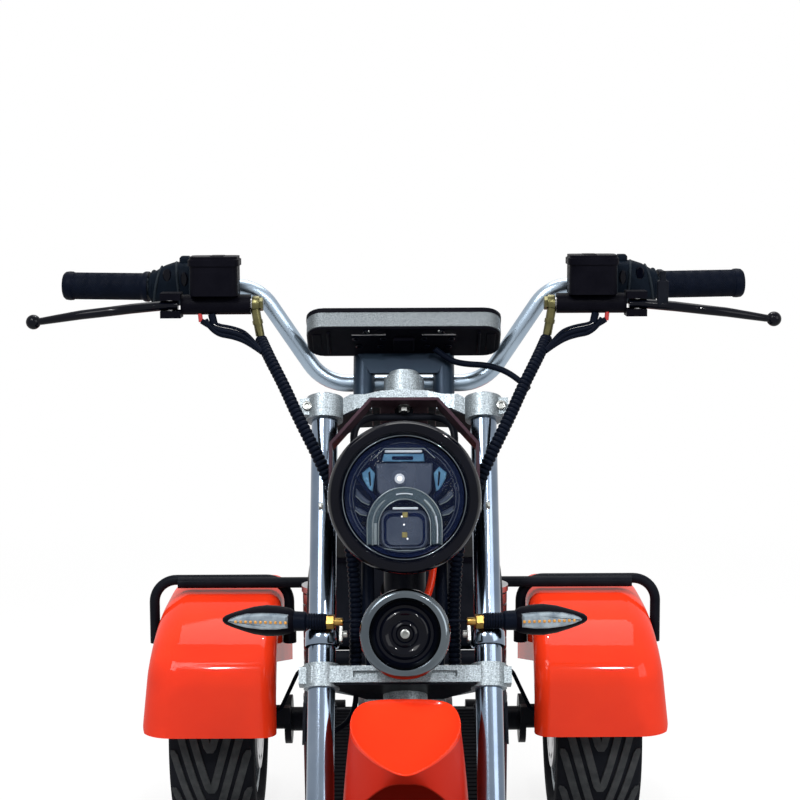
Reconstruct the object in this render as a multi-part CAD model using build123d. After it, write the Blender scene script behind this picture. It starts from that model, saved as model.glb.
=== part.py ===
from build123d import *
import os
from math import cos, radians, sin

os.makedirs("parts", exist_ok=True)

# Three-wheeled electric scooter: front is -Y, ground is Z = 0, sizes in millimetres.
WHEELBASE = 1308
REAR_REACH = 260
HALF_TRACK = 335

# Tyres: outer radius, width, height of the section, half width at the beads.
FRONT_TYRE_R = 236
FRONT_TYRE_W = 120
FRONT_SECTION = 84
FRONT_BEAD_HALF = 45
REAR_TYRE_R = 200
REAR_TYRE_W = 150
REAR_SECTION = 73
REAR_BEAD_HALF = 58

# The rear axle and the front tyre's nose are as far from the origin as the box needs.
FRONT_BEAD_R = FRONT_TYRE_R - FRONT_SECTION
REAR_BEAD_R = REAR_TYRE_R - REAR_SECTION
FRONT_Y = -(WHEELBASE + REAR_REACH - FRONT_TYRE_R) / 2
REAR_Y = FRONT_Y + WHEELBASE

# Steering: rake of the stem, offset of the fork tubes ahead of it, lower yoke above the tyre.
RAKE = 28
FORK_OFFSET = 45
YOKE_CLEAR = 165
FORK_DROP = FRONT_TYRE_R + YOKE_CLEAR
FORK_HALF = 100
FORK_TUBE_R = 16.5
SLIDER_R = 22
EYE_HALF = 23.5
YOKE_RISE = 342
STEM_R = 15
AXLE_R = 10
RUN = 0.05
GAP = 0.3

# Handlebar: clamps in the fork's frame, bends level from the stem's foot.
BAR_R = 11
BAR_BORE_R = 8.6
BAR_BORE_DEPTH = 60
BAR_Y = 40
BAR_RISE = 411
BAR_TIP = (448, 253, 473)
BAR_KNEE = (190, 223, 471)
RISER_X = 52

# Rear running gear and mudguards: sides of the mudguard from the wheel's middle.
STUB_R = 12
BEAM_R = 21.5
MOTOR_R = 95
MOTOR_HALF = 85
ARM_X = 121
FENDER_CLEAR = 49
FENDER_SKIRT = 45
FENDER_INNER = 117
FENDER_OUTER = 101
FENDER_FLARE = 12
FENDER_WALL = 4
FENDER_ROUND = (54, 26)
FENDER_CROWN = (119, 149)
FENDER_IN = HALF_TRACK - FENDER_INNER
FENDER_OUT = HALF_TRACK + FENDER_OUTER
FENDER_TOP = 2 * REAR_TYRE_R + FENDER_CLEAR
HOOP_R = 9
HOOP_SLEEVE_R = 12
HOOP_Y = REAR_Y - 42
HOOP_Z = FENDER_TOP + HOOP_R + 10
HOOP_FOOT = FENDER_TOP - 95

BASE = (Align.CENTER, Align.CENTER, Align.MIN)
_tilt = radians(RAKE)
STEM_FOOT = (
    0,
    FRONT_Y + FORK_OFFSET * cos(_tilt) + FORK_DROP * sin(_tilt),
    FRONT_TYRE_R - FORK_OFFSET * sin(_tilt) + FORK_DROP * cos(_tilt),
)
FORK = Plane(origin=STEM_FOOT, x_dir=(1, 0, 0), z_dir=(0, sin(_tilt), cos(_tilt)))
AT_STEM = Pos(*STEM_FOOT)
AT_FRONT = Pos(0, FRONT_Y, FRONT_TYRE_R)
AT_REAR = Pos(HALF_TRACK, REAR_Y, REAR_TYRE_R)
AT_AXLE = Pos(0, REAR_Y, REAR_TYRE_R)
AT_TAIL = Pos(0, REAR_Y, FENDER_TOP)

# Deck and rails: the rails rise behind the deck to carry the seat.
RAIL_R = 16
RAIL_X = 146
RAIL_FRONT_X = 112
RAIL_Z = 318
DECK_FRONT = STEM_FOOT[1] + 93
DECK_REAR = REAR_Y - 414
DECK_Z = RAIL_Z + RAIL_R
DECK_T = 8
RAIL_LINE = (
    (DECK_FRONT - 5, RAIL_Z),
    (DECK_REAR - 3, RAIL_Z),
    (REAR_Y - 247, FENDER_TOP + 66),
    (REAR_Y + 166, FENDER_TOP + 107),
)


def in_fork(x, y, z):
    """Vehicle position of a point given in the fork's own frame."""
    return FORK.from_local_coords(Vector(x, y, z))


def from_stem(x, y, z):
    """Vehicle position of a point measured level from the stem's foot."""
    return Vector(STEM_FOOT) + Vector(x, y, z)


def rail_z(y):
    """Height of the rails' middle at a place along the vehicle."""
    for (y0, z0), (y1, z1) in zip(RAIL_LINE, RAIL_LINE[1:]):
        if y <= y1:
            return z0 + (z1 - z0) * (y - y0) / (y1 - y0)
    return RAIL_LINE[-1][1]


def block(x, y, z):
    """Box between three pairs of limits."""
    middle = [(a + b) / 2 for a, b in (x, y, z)]
    return Pos(*middle) * Box(x[1] - x[0], y[1] - y[0], z[1] - z[0])


def rod(start, end, radius):
    """Round bar between two points."""
    run = Vector(end) - Vector(start)
    return Plane(origin=start, z_dir=run) * Cylinder(radius, run.length, align=BASE)


def hose(points, radius, bends):
    """Round run through points, its corners rounded by the bend radii."""
    path = FilletPolyline(*points, radius=bends)
    return sweep(Plane(origin=path @ 0, z_dir=path % 0) * Circle(radius), path=path)


def side_prism(outline, x0, x1):
    """Solid with a side outline of (y, z) points between two x positions."""
    face = make_face(Polyline(*outline, close=True))
    return extrude(Plane.YZ.offset(x0) * face, amount=x1 - x0)


def spun(outline, axis=Axis.X):
    """Solid of revolution of a closed outline of points."""
    return revolve(make_face(Polyline(*outline, close=True)), axis)


def pair(shape):
    """A shape with its mirror image across the centre plane."""
    return shape + mirror(shape, Plane.YZ)


def mirrored(points):
    return [(-x, y, z) for x, y, z in points]


def tyre(half_w, radius, bead_r, bead_half, crown, wall):
    """Ring tyre about the X axis, open towards the rim."""
    flank = (radius + bead_r) / 2
    shoulder = (half_w * 0.88, radius - crown)
    heel = (bead_half, bead_r + 13)
    inner = (half_w * 0.84 - wall, radius - crown - wall)
    toe = (bead_half - wall, bead_r + 13)
    right = [
        Line((bead_half, bead_r), heel),
        ThreePointArc(heel, (half_w, flank + 6), shoulder),
        ThreePointArc((shoulder[0], shoulder[1]), (0, radius), (-shoulder[0], shoulder[1])),
        ThreePointArc((-shoulder[0], shoulder[1]), (-half_w, flank + 6), (-heel[0], heel[1])),
        Line((-heel[0], heel[1]), (-bead_half, bead_r)),
        Line((-bead_half, bead_r), (-toe[0], bead_r)),
        Line((-toe[0], bead_r), (-toe[0], toe[1])),
        ThreePointArc((-toe[0], toe[1]), (wall - half_w, flank + 6), (-inner[0], inner[1])),
        Line((-inner[0], inner[1]), inner),
        ThreePointArc(inner, (half_w - wall, flank + 6), toe),
        Line(toe, (toe[0], bead_r)),
        Line((toe[0], bead_r), (bead_half, bead_r)),
    ]
    return revolve(make_face(right), Axis.X)


def rim(bead_r, bead_half, hub_r, hub, web, bore_r):
    """Cast wheel about the X axis: barrel with lips, hub and five spokes."""
    seat = bead_r - GAP
    lip = bead_half + GAP
    barrel = spun(
        [
            (-lip - 6, seat - 8),
            (-lip - 6, bead_r + 9),
            (-lip, bead_r + 9),
            (-lip, seat),
            (-lip + 16, seat),
            (-lip + 26, seat - 12),
            (lip - 26, seat - 12),
            (lip - 16, seat),
            (lip, seat),
            (lip, bead_r + 9),
            (lip + 6, bead_r + 9),
            (lip + 6, seat - 8),
            (lip - 20, seat - 8),
            (lip - 28, seat - 18),
            (-lip + 28, seat - 18),
            (-lip + 20, seat - 8),
        ]
    )
    middle = spun([(hub[0], bore_r), (hub[0], hub_r), (hub[1], hub_r), (hub[1], bore_r)])
    wheel = barrel + middle
    tip = seat - 14
    spoke = make_face(
        Polyline((-15, hub_r - 6), (-10, tip), (10, tip), (15, hub_r - 6), close=True)
    )
    arm = extrude(Plane.YZ.offset(web[0]) * spoke, amount=web[1] - web[0])
    for turn in range(5):
        wheel += Rot(72 * turn, 0, 0) * arm
    return wheel


def disc(x, radius, thick, bore_r):
    """Brake disc about the X axis with a ring of slots."""
    plate = spun([(x, bore_r), (x, radius), (x + thick, radius), (x + thick, bore_r)])
    cut = Plane.YZ.offset(x - 1) * Pos(0, radius * 0.8) * SlotOverall(24, 7)
    tool = extrude(cut, amount=thick + 2)
    for turn in range(10):
        plate -= Rot(36 * turn, 0, 0) * tool
    return plate


# Wheels: hub ends and disc faces from each wheel's middle.
FRONT_HUB = (-60, 60)
FRONT_HUB_R = 34
FRONT_DISC_X = -68
FRONT_DISC_R = FRONT_BEAD_R - 48
REAR_HUB = (-68, 44)
REAR_HUB_R = 36
REAR_DISC_X = -72
REAR_DISC_R = REAR_BEAD_R - 39
DISC_T = 4


def front_wheel():
    tread = tyre(FRONT_TYRE_W / 2, FRONT_TYRE_R, FRONT_BEAD_R, FRONT_BEAD_HALF, 16, 10)
    bore = AXLE_R + RUN
    wheel = rim(FRONT_BEAD_R, FRONT_BEAD_HALF, FRONT_HUB_R, FRONT_HUB, (0, 22), bore)
    start, end = FRONT_DISC_X + DISC_T, FRONT_HUB[0]
    carrier = spun([(start, bore), (start, FRONT_HUB_R), (end, FRONT_HUB_R), (end, bore)])
    brake = disc(FRONT_DISC_X, FRONT_DISC_R, DISC_T, AXLE_R + 9)
    return {
        "front_tyre": AT_FRONT * tread,
        "front_rim": AT_FRONT * (wheel + carrier),
        "front_disc": AT_FRONT * brake,
    }


def rear_wheel():
    tread = tyre(REAR_TYRE_W / 2, REAR_TYRE_R, REAR_BEAD_R, REAR_BEAD_HALF, 12, 11)
    wheel = rim(REAR_BEAD_R, REAR_BEAD_HALF, REAR_HUB_R, REAR_HUB, (16, 38), STUB_R + RUN)
    brake = disc(REAR_DISC_X, REAR_DISC_R, DISC_T, STUB_R + 8)
    return {"tyre": AT_REAR * tread, "rim": AT_REAR * wheel, "disc": AT_REAR * brake}


# Steering assembly, built in the fork's own frame
def fork_bores(shape, radius):
    for side in (-1, 1):
        bore = Pos(side * FORK_HALF, -FORK_OFFSET, -100) * Cylinder(radius, 700, align=BASE)
        shape -= bore
    return shape


def lower_yoke():
    plan = [(-112, -64), (112, -64), (112, -30), (50, 28), (-50, 28), (-112, -30)]
    web = extrude(make_face(Polyline(*plan, close=True)), amount=10, both=True)
    web -= block((-62, 62), (-66, -59), (-4, 4))
    boss = Pos(0, 0, -34) * Cylinder(27, 48, align=BASE)
    casting = web + boss
    for side in (-1, 1):
        casting += Pos(side * FORK_HALF, -FORK_OFFSET, 0) * Cylinder(21.5, 29)
        ear = block((-6, 6), (-12, 12), (-10, 10))
        casting += Pos(side * (FORK_HALF + 21), -FORK_OFFSET, 0) * ear
    casting = fork_bores(casting, FORK_TUBE_R + RUN)
    stem = Pos(0, 0, -12) * Cylinder(STEM_R, YOKE_RISE + 72, align=BASE)
    cap = Pos(0, 0, YOKE_RISE + 58 + GAP) * Cylinder(20, 7, align=BASE)
    return FORK * (casting + stem + cap)


def upper_yoke():
    front = [(0, 34), (30, 32), (48, 26), (68, 24), (86, 10), (112, 10), (112, -10)]
    front += [(84, -10), (60, 6), (0, 8)]
    mirror_half = [(-x, z) for x, z in reversed(front[1:-1])]
    silhouette = make_face(Polyline(*front, *mirror_half, close=True))
    web = extrude(Plane.XZ * silhouette, amount=75, both=True)
    plan = [(-115, -60), (-64, -36), (-30, -29), (30, -29), (64, -36), (115, -60)]
    plan += [(115, -30), (70, 38), (-70, 38), (-115, -30)]
    web &= extrude(make_face(Polyline(*plan, close=True)), amount=60, both=True)
    casting = web + Cylinder(26, 58, align=BASE)
    for side in (-1, 1):
        casting += Pos(side * RISER_X, 20, 8) * Cylinder(18, 24, align=BASE)
        casting += Pos(side * FORK_HALF, -FORK_OFFSET, 0) * Cylinder(23, 30)
        ear = block((-9, 9), (-13, 13), (-11, 11))
        casting += Pos(side * (FORK_HALF + 22), -FORK_OFFSET, 0) * ear
    casting = fork_bores(casting, FORK_TUBE_R + RUN)
    casting -= Cylinder(STEM_R + RUN, 160)
    return FORK * Pos(0, 0, YOKE_RISE) * casting


# The tubes end this far below the lower yoke, inside the sliders.
SLIDER_TOP = -190
TUBE_FOOT = SLIDER_TOP - 42


def fork_tubes():
    reach = YOKE_RISE + 18 - TUBE_FOOT
    leg = Pos(FORK_HALF, -FORK_OFFSET, TUBE_FOOT) * Cylinder(FORK_TUBE_R, reach, align=BASE)
    return FORK * pair(leg)


def fork_sliders():
    def on_leg(z):
        return Pos(FORK_HALF, -FORK_OFFSET, z)

    foot = -FORK_DROP - SLIDER_R - 1
    leg = on_leg(foot) * Cylinder(SLIDER_R, SLIDER_TOP - foot, align=BASE)
    collar = on_leg(SLIDER_TOP - 22) * Cylinder(SLIDER_R + 3, 22, align=BASE)
    bore = on_leg(TUBE_FOOT - 2) * Cylinder(FORK_TUBE_R + RUN, 60, align=BASE)
    eye = on_leg(-FORK_DROP) * Rot(0, 90, 0) * Cylinder(SLIDER_R + 2, 2 * EYE_HALF)
    hole = on_leg(-FORK_DROP) * Rot(0, 90, 0) * Cylinder(AXLE_R + RUN, 90)
    return FORK * pair(leg + collar + eye - bore - hole)


def front_axle():
    inner = FORK_HALF - EYE_HALF
    outer = FORK_HALF + EYE_HALF
    shaft = rod((-outer - 14, 0, 0), (outer + 14, 0, 0), AXLE_R)
    sleeves = [(FRONT_HUB[1] + GAP, inner), (-inner, FRONT_DISC_X - GAP)]
    for start, end in sleeves:
        shaft += rod((start, 0, 0), (end, 0, 0), AXLE_R + 6)
    nut = extrude(Plane.YZ.offset(outer) * RegularPolygon(17, 6), amount=11)
    return AT_FRONT * (shaft + pair(nut))


def front_caliper():
    x = FRONT_DISC_X
    y, z = 0.827 * FRONT_DISC_R, 0.558 * FRONT_DISC_R
    body = block((x - 14, x + 20), (y - 26, y + 26), (z - 28, z + 28))
    body = fillet(body.edges().filter_by(Axis.X), 9)
    body -= block((x - 5, x + DISC_T + 5), (y - 36, y + 20), (z - 38, z + 42))
    lug = block((-FORK_HALF + 2, x - 12), (y - 42, y - 6), (z - 24, z + 12))
    part = AT_FRONT * (body + lug)
    return part - fork_sliders()


# Front mudguard: a bow-shaped shell under a scooped top
DISH_FRONT = (-214, -51)
DISH_TOP = (-70, 5)


def bow(z, tip, knee, side, rear, inset):
    """Plan outline of the mudguard at one height, moved in by a wall."""
    points = [
        (0, tip + inset * 1.4),
        (knee[0] - inset, knee[1] + inset * 0.5),
        (side[0] - inset, side[1]),
        (side[0] - inset, rear - inset),
    ]
    outline = points + [(-x, y) for x, y in reversed(points[1:])]
    return Pos(0, 0, z) * make_face(Polyline(*outline, close=True))


def bow_body(inset, drop):
    """Solid bow under the scoop's plane, dropped by a depth, behind it the back slope."""
    low = bow(-189, -210, (52, -187), (73, -137), 33, inset)
    high = bow(71, -212, (58, -132), (64, -97), -14, inset)
    solid = loft([low, high], ruled=True)
    (y0, z0), (y1, z1) = DISH_FRONT, DISH_TOP
    roof = [(y0 - 40, z0 - 15.6 - drop), (y1, z1 - drop), (y1 + 14, z1 - 4 - drop)]
    roof += [(-24, -103 - drop), (14, -189 - drop), (58, -269), (y0 - 40, -269)]
    return solid & side_prism(roof, -120, 120)


def front_fender():
    shell = bow_body(0, 0)
    (y0, z0), (y1, z1) = DISH_FRONT, DISH_TOP
    middle = ((y0 + y1) / 2, (z0 + z1) / 2)
    slope = Vector(0, y1 - y0, z1 - z0).normalized()
    up = Vector(0, -slope.Z, slope.Y)
    centre = Vector(0, middle[0] + 6, middle[1] + 2) + up * 196
    shell -= Pos(*centre) * Sphere(206)
    shell -= bow_body(4, 15)
    skirt = [(-262, -189), (-222, -145), (-122, -149), (-12, -194), (58, -219), (58, -369)]
    shell -= side_prism(skirt + [(-262, -369)], -100, 100)
    arch = Plane.XZ.offset(122) * Pos(0, -151) * Ellipse(70, 94)
    shell -= extrude(arch, amount=140)
    shell -= block((-70, 70), (-262, -122), (-269, -151))
    return AT_STEM * shell


def fender_stay():
    """Block under the lower yoke that the mudguard's back slope is bolted to."""
    outline = [(-36, -9), (-2, -25), (-6, -69), (-62, -49), (-62, -21)]
    return AT_STEM * (side_prism(outline, -18, 18) - bow_body(0, 0))


# Headlamp and horn
LAMP_TILT = 10
LAMP_R = 89
LAMP = Plane(
    origin=in_fork(0, -172, 185),
    x_dir=(1, 0, 0),
    z_dir=(0, -cos(radians(LAMP_TILT)), sin(radians(LAMP_TILT))),
)
LENS_R = 70
LAMP_PIVOT = (-108, 195)
STRAP_X = 87
STRAP_W = 26
STRAP_T = 4
BOWL = [(0, -112), (36, -110), (64, -94), (80, -66), (86, -34), (LAMP_R, -14), (LAMP_R, -5), (84, 2)]


def lamp_spun(outline):
    """Solid of revolution about the lamp's axis from (radius, depth) points."""
    return LAMP * spun(outline, Axis.Y).rotate(Axis.X, 90)


def headlamp_bucket():
    inner = [(76, 2), (LENS_R + 1, -4), (LENS_R + 1, -22), (80, -28), (82, -36), (76, -64)]
    inner += [(61, -90), (34, -106), (0, -108)]
    bowl = lamp_spun(BOWL + inner)
    ear = FORK * Pos(0, *LAMP_PIVOT) * Rot(0, 90, 0) * Cylinder(11, 2 * (STRAP_X - GAP))
    keep = LAMP * Pos(0, 0, -112) * Cylinder(76, 200)
    return bowl + (ear - keep)


def headlamp_lens():
    dome = [(0, 8), (24, 7), (46, 4), (62, -1), (LENS_R, -6), (LENS_R, -9)]
    back = [(61, -4), (45, 1), (23, 4), (0, 5)]
    return lamp_spun(dome + back)


def headlamp_module():
    plate = Pos(0, 0, -21.5) * Cylinder(LENS_R + 0.7, 5)
    arch = Pos(0, 4) * (Circle(40) - Circle(31)) - Pos(0, -46) * Rectangle(100, 100)
    legs = Pos(-35.5, -10) * Rectangle(9, 28) + Pos(35.5, -10) * Rectangle(9, 28)
    guide = extrude(Pos(0, 0, -19) * (arch + legs), amount=9)
    lower = extrude(Pos(0, -30, -19) * RectangleRounded(48, 34, 8), amount=11)
    upper = extrude(Pos(0, 6, -19) * RectangleRounded(46, 28, 6), amount=4)
    return LAMP * (plate + guide + lower + upper)


def headlamp_bracket():
    """Flat bar bent over the lamp from pivot to pivot, with a tongue under the upper yoke."""
    y, z = LAMP_PIVOT
    foot = z - 13
    top = YOKE_RISE
    inner = [(STRAP_X, foot), (STRAP_X, 280), (40, top - STRAP_T)]
    outer = [(42, top), (STRAP_X + STRAP_T, 281.5), (STRAP_X + STRAP_T, foot)]
    half = inner + outer
    left = [(-px, pz) for px, pz in half]
    outline = left[3:] + left[:3] + list(reversed(inner)) + list(reversed(outer))
    face = make_face(Polyline(*outline, close=True))
    strap = extrude(Plane.XZ.offset(-y - STRAP_W / 2) * face, amount=STRAP_W)
    strap += block((-30, 30), (y, -STEM_R - 2), (top - STRAP_T, top))
    bolt = extrude(Plane.YZ.offset(STRAP_X + STRAP_T) * Pos(y, z) * RegularPolygon(10, 6), amount=7)
    return FORK * (strap + pair(bolt))


def lamp_hoop():
    """Round hoop from the lamp's back up to two posts under the strap."""
    y, top = -88, 309
    points = [(-58, y, 220), (-63, y, 284), (-46, y, top), (46, y, top), (63, y, 284), (58, y, 220)]
    tube = hose(points, 5, 14)
    for x in (-8, 8):
        tube += rod((x, y, top), (x, y, YOKE_RISE - STRAP_T - GAP), 4)
    return FORK * tube - lamp_spun(BOWL + [(0, 2)])


HORN = Plane(origin=in_fork(0, -122, 34), x_dir=(1, 0, 0), z_dir=(0, -0.97, 0.243))
HORN_R = 49


def horn(yoke):
    body = [(0, -36), (30, -36), (40, -24), (HORN_R - 2, -12), (HORN_R, 0), (HORN_R - 3, 5)]
    body += [(42, 6), (36, 1), (34, -9), (26, -6), (18, -9), (10, -6), (5, -6), (5, 0), (0, 0)]
    strap = block((-11, 11), (-88, -40), (10, 14)) + block((-11, 11), (-94, -84), (10, 46))
    return HORN * spun(body, Axis.Y).rotate(Axis.X, 90) + (FORK * strap - yoke)


# Handlebar and controls
BAR_RUN = Vector(BAR_TIP) - Vector(BAR_KNEE)
BAR = Plane(origin=from_stem(*BAR_TIP), x_dir=(0, -1, 0), z_dir=BAR_RUN)
MASTER_Y = 176
MASTER_Z = 453
LEVER_PIN = (299, 168)
LEVER_PIN_R = 4
LEVER_EYE_T = 11
BANJO_END = (184, 171, 415)


def handlebar():
    half = [tuple(in_fork(105, BAR_Y, BAR_RISE))]
    half += [tuple(from_stem(*BAR_KNEE)), tuple(from_stem(*BAR_TIP))]
    points = list(reversed(mirrored(half))) + half
    tube = hose(points, BAR_R, [50, 60, 60, 50])
    bore = BAR * Pos(0, 0, -BAR_BORE_DEPTH) * Cylinder(BAR_BORE_R, BAR_BORE_DEPTH + 5, align=BASE)
    return tube - pair(bore)


def bar_sleeve(radius):
    """Space that the straight outer run of the bar takes, with a fit."""
    return BAR * Pos(0, 0, -250) * Cylinder(radius, 300, align=BASE)


def bar_risers():
    post = Pos(RISER_X, 20, YOKE_RISE + 32) * Cylinder(14, 73, align=BASE)
    clamp = block((RISER_X - 13, RISER_X + 13), (18, 60), (BAR_RISE - 19, BAR_RISE + 19))
    bore = Pos(RISER_X, BAR_Y, BAR_RISE) * Rot(0, 90, 0) * Cylinder(BAR_R + RUN, 60)
    above = DISPLAY * Pos(0, 0, 60 - DISPLAY_T / 2) * Box(400, 400, 120)
    return FORK * pair(post + clamp - bore) - above


def grips():
    body = Pos(0, 0, -115) * Cylinder(17, 115, align=BASE)
    body += Pos(0, 0, -115) * Cylinder(20, 6, align=BASE)
    body += Pos(0, 0, -6) * Cylinder(18.5, 6, align=BASE)
    return pair(BAR * body - bar_sleeve(BAR_R + RUN))


def switch_housings():
    """Clamped shells inboard of the grips with a rocker and a push button towards the rider."""
    body = block((-24, 24), (-27, 27), (-177, -116))
    body = fillet(body.edges().filter_by(Axis.Z), 9)
    body -= block((-30, 30), (-0.5, 0.5), (-180, -112)) - block((-22, 22), (-26, 26), (-180, -112))
    body += block((-29, -23), (-2, 14), (-150, -128))
    body += Pos(-26, -12, -140) * Rot(0, 90, 0) * Cylinder(7, 8)
    return pair(BAR * body - bar_sleeve(BAR_R + RUN))


def brake_masters():
    """Reservoir and cylinder ahead of the bar, clamped to it, with the hose's banjo."""
    y, z = MASTER_Y, MASTER_Z
    tank = block((211, 272), (y - 24, y + 26), (z + 12, z + 62))
    tank = fillet(tank.edges().filter_by(Axis.Z), 9)
    lid = block((209, 274), (y - 26, y + 28), (z + 50, z + 58))
    lid = fillet(lid.edges().filter_by(Axis.Z), 10)
    body = rod((196, y, z), (285, y, z), 13)
    perch = block((230, 254), (y - 2, y + 74), (z, z + 38))
    pin_x, pin_y = LEVER_PIN
    hinge = block((pin_x - 15, pin_x + 11), (pin_y - 14, pin_y + 18), (z - 16, z + 16))
    slot = LEVER_EYE_T / 2 + 1.5
    hinge -= block((pin_x - 17, pin_x + 21), (pin_y - 26, pin_y + 30), (z - slot, z + slot))
    pin = rod((pin_x, pin_y, z - 12), (pin_x, pin_y, z + 12), LEVER_PIN_R)
    banjo = rod((182, y, z), (198, y, z), 6)
    banjo += Pos(189, y, z) * Rot(0, 90, 0) * Cylinder(10, 8)
    banjo += rod((189, y - 4, z - 6), BANJO_END, 5)
    part = tank + lid + body + perch + hinge + pin + banjo
    return pair(AT_STEM * part - bar_sleeve(BAR_R + RUN))


def brake_levers():
    """Bladed levers with ball ends; the parking latch is on one of them."""
    x, y, z = *LEVER_PIN, MASTER_Z
    tip = (x + 175, y, z - 21)
    blade = hose([(x, y, z), (x + 31, y - 20, z - 2), (x + 105, y - 22, z - 10), tip], 6, [40, 70])
    eye = Pos(x, y, z) * Cylinder(10, LEVER_EYE_T)
    hole = Pos(x, y, z) * Cylinder(LEVER_PIN_R + RUN, 40)
    latch = block((x + 23, x + 37), (y - 20, y - 10), (z - 4, z + 30))
    latch += rod((x + 30, y - 15, z + 28), (x + 30, y - 15, z + 42), 4)
    return AT_STEM * (pair(blade + eye + Pos(*tip) * Sphere(9) - hole) + latch)


BUNDLE_R = 7


def bundle(side):
    """Wrapped hose run from the master cylinder to the top of the lower yoke."""
    x, y, z = BANJO_END
    top = FORK.to_local_coords(from_stem(x - 1.4, y - 0.6, z - 8))
    points = [
        (side * top.X, top.Y, top.Z),
        (side * 172, -62, 410),
        (side * 132, -82, 320),
        (side * 98, -86, 250),
        (side * 62, -50, 170),
        (side * 60, -30, 100),
        (side * 60, -30, 10),
    ]
    return FORK * hose(points, BUNDLE_R, [30, 40, 40, 40, 40])


def front_hose():
    """Brake hose from under the lower yoke down behind the left leg to the caliper."""
    points = [
        (-60, 8, -10),
        (-60, 8, -36),
        (-106, 4, -70),
        (-106, 4, 101 - FORK_DROP),
        (-84, 45, 71 - FORK_DROP),
    ]
    return FORK * hose(points, 3.5, [18, 30, 40])


# Display, its frame lies in the screen's plane
DISPLAY_TILT = radians(35)
DISPLAY = Plane(
    origin=from_stem(0, 197, 415),
    x_dir=(1, 0, 0),
    z_dir=(0, sin(DISPLAY_TILT), cos(DISPLAY_TILT)),
)
DISPLAY_W = 250
DISPLAY_H = 76
DISPLAY_T = 27
DISPLAY_EDGE = 10
SCREEN_T = 2.5


SCREEN_Z = DISPLAY_T / 2 - SCREEN_T - 0.5


def screen_face(inset):
    """Outline of the screen's seat, moved in by a fit."""
    edge = 2 * (DISPLAY_EDGE + inset)
    return RectangleRounded(DISPLAY_W - edge, DISPLAY_H - edge, 12 - inset)


def display_housing():
    """Flat case with a rounded outline, a seat for the screen and a recessed back."""
    body = extrude(RectangleRounded(DISPLAY_W, DISPLAY_H, 22), amount=DISPLAY_T / 2, both=True)
    body -= extrude(Pos(0, 0, SCREEN_Z) * screen_face(0), amount=10)
    back = Pos(0, 6, -DISPLAY_T / 2 - 1) * RectangleRounded(DISPLAY_W - 54, DISPLAY_H - 38, 8)
    body -= extrude(back, amount=3)
    return DISPLAY * body


def display_screen():
    return DISPLAY * extrude(Pos(0, 0, SCREEN_Z) * screen_face(GAP), amount=SCREEN_T)


def display_bracket():
    """Plate between the risers, up to the back of the display."""
    outline = [(-64, 480), (64, 480), (64, 446), (44, 412), (-44, 412), (-64, 446)]
    face = make_face(Polyline(*outline, close=True))
    plate = extrude(Plane.XZ.offset(-12) * face, amount=6)
    above = DISPLAY * Pos(0, 0, 60 - DISPLAY_T / 2) * Box(400, 400, 120)
    return FORK * plate - above


# Turn signals on the fork: stalk outwards along X, pod at its end
SIGNAL_SEAT = (92, -72, 66)
SIGNAL_CLAMP_Z = 56


def front_signals():
    seat = Plane(origin=in_fork(*SIGNAL_SEAT), x_dir=(0, 1, 0), z_dir=(1, 0.1, 0))
    stalk = Cylinder(9.5, 46, align=BASE)
    pod = Pos(0, 0, 42) * extrude(SlotOverall(44, 34, 90), amount=84, taper=5)
    pod = fillet(pod.edges().sort_by(Axis.Z)[-3:], 8)
    return pair(seat * (stalk + pod))


def signal_clamps():
    """Clamps round the fork tubes with the nut on each stalk's stud."""
    x, y, z = SIGNAL_SEAT
    ring = Pos(FORK_HALF, -FORK_OFFSET, SIGNAL_CLAMP_Z) * Cylinder(FORK_TUBE_R + 3.5, 22)
    tab = block((x - 4, x), (y - 13, -FORK_OFFSET - 14), (SIGNAL_CLAMP_Z - 10, z + 16))
    clamp = ring + tab
    clamp -= Pos(FORK_HALF, -FORK_OFFSET, 0) * Cylinder(FORK_TUBE_R + RUN, 400)
    nut = Pos(x - 12, y, z) * Rot(0, 90, 0) * extrude(RegularPolygon(9, 6), amount=8)
    return FORK * pair(clamp + nut)


# Frame
def rail():
    places = [(RAIL_FRONT_X if y < DECK_REAR - 3 else RAIL_X, y, z) for y, z in RAIL_LINE]
    return hose(places, RAIL_R, [90, 110])


FRONT_TUBE_Y = DECK_FRONT + 15
PIVOT = (REAR_Y - 342, REAR_TYRE_R + 62)
PIVOT_TUBE_Y = PIVOT[0]
SHOCK_X = 153
SHOCK_FOOT = (REAR_Y - 87, REAR_TYRE_R + 44)
SHOCK_HEAD = (REAR_Y - 107, FENDER_TOP + 49)


def cross_tubes(rails):
    """Four tubes between the rails: place along the vehicle, radius, half length."""
    bars = Part()
    for y, radius, half in (
        (FRONT_TUBE_Y, 14, RAIL_FRONT_X),
        (PIVOT_TUBE_Y, 12, RAIL_X),
        (REAR_Y - 172, 12, RAIL_X),
        (REAR_Y + 148, 12, RAIL_X),
    ):
        bars += rod((-half, y, rail_z(y)), (half, y, rail_z(y)), radius)
    return bars - rails


def rail_brackets(rails):
    """Plates for the swing arms' pivot and lugs for the shocks, welded under the rails."""
    y, z = PIVOT
    plate = block((140, 154), (y - 22, y + 22), (z - 22, rail_z(y) - RAIL_R))
    plate -= Pos(0, y, z) * Rot(0, 90, 0) * Cylinder(AXLE_R + GAP, 400)
    y, z = SHOCK_HEAD
    lug = block((SHOCK_X - 8, SHOCK_X + 8), (y - 12, y + 12), (z + 6, rail_z(y)))
    return pair(plate + lug) - rails


def swing_pivot():
    return rod((-160, *PIVOT), (160, *PIVOT), AXLE_R)


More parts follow.
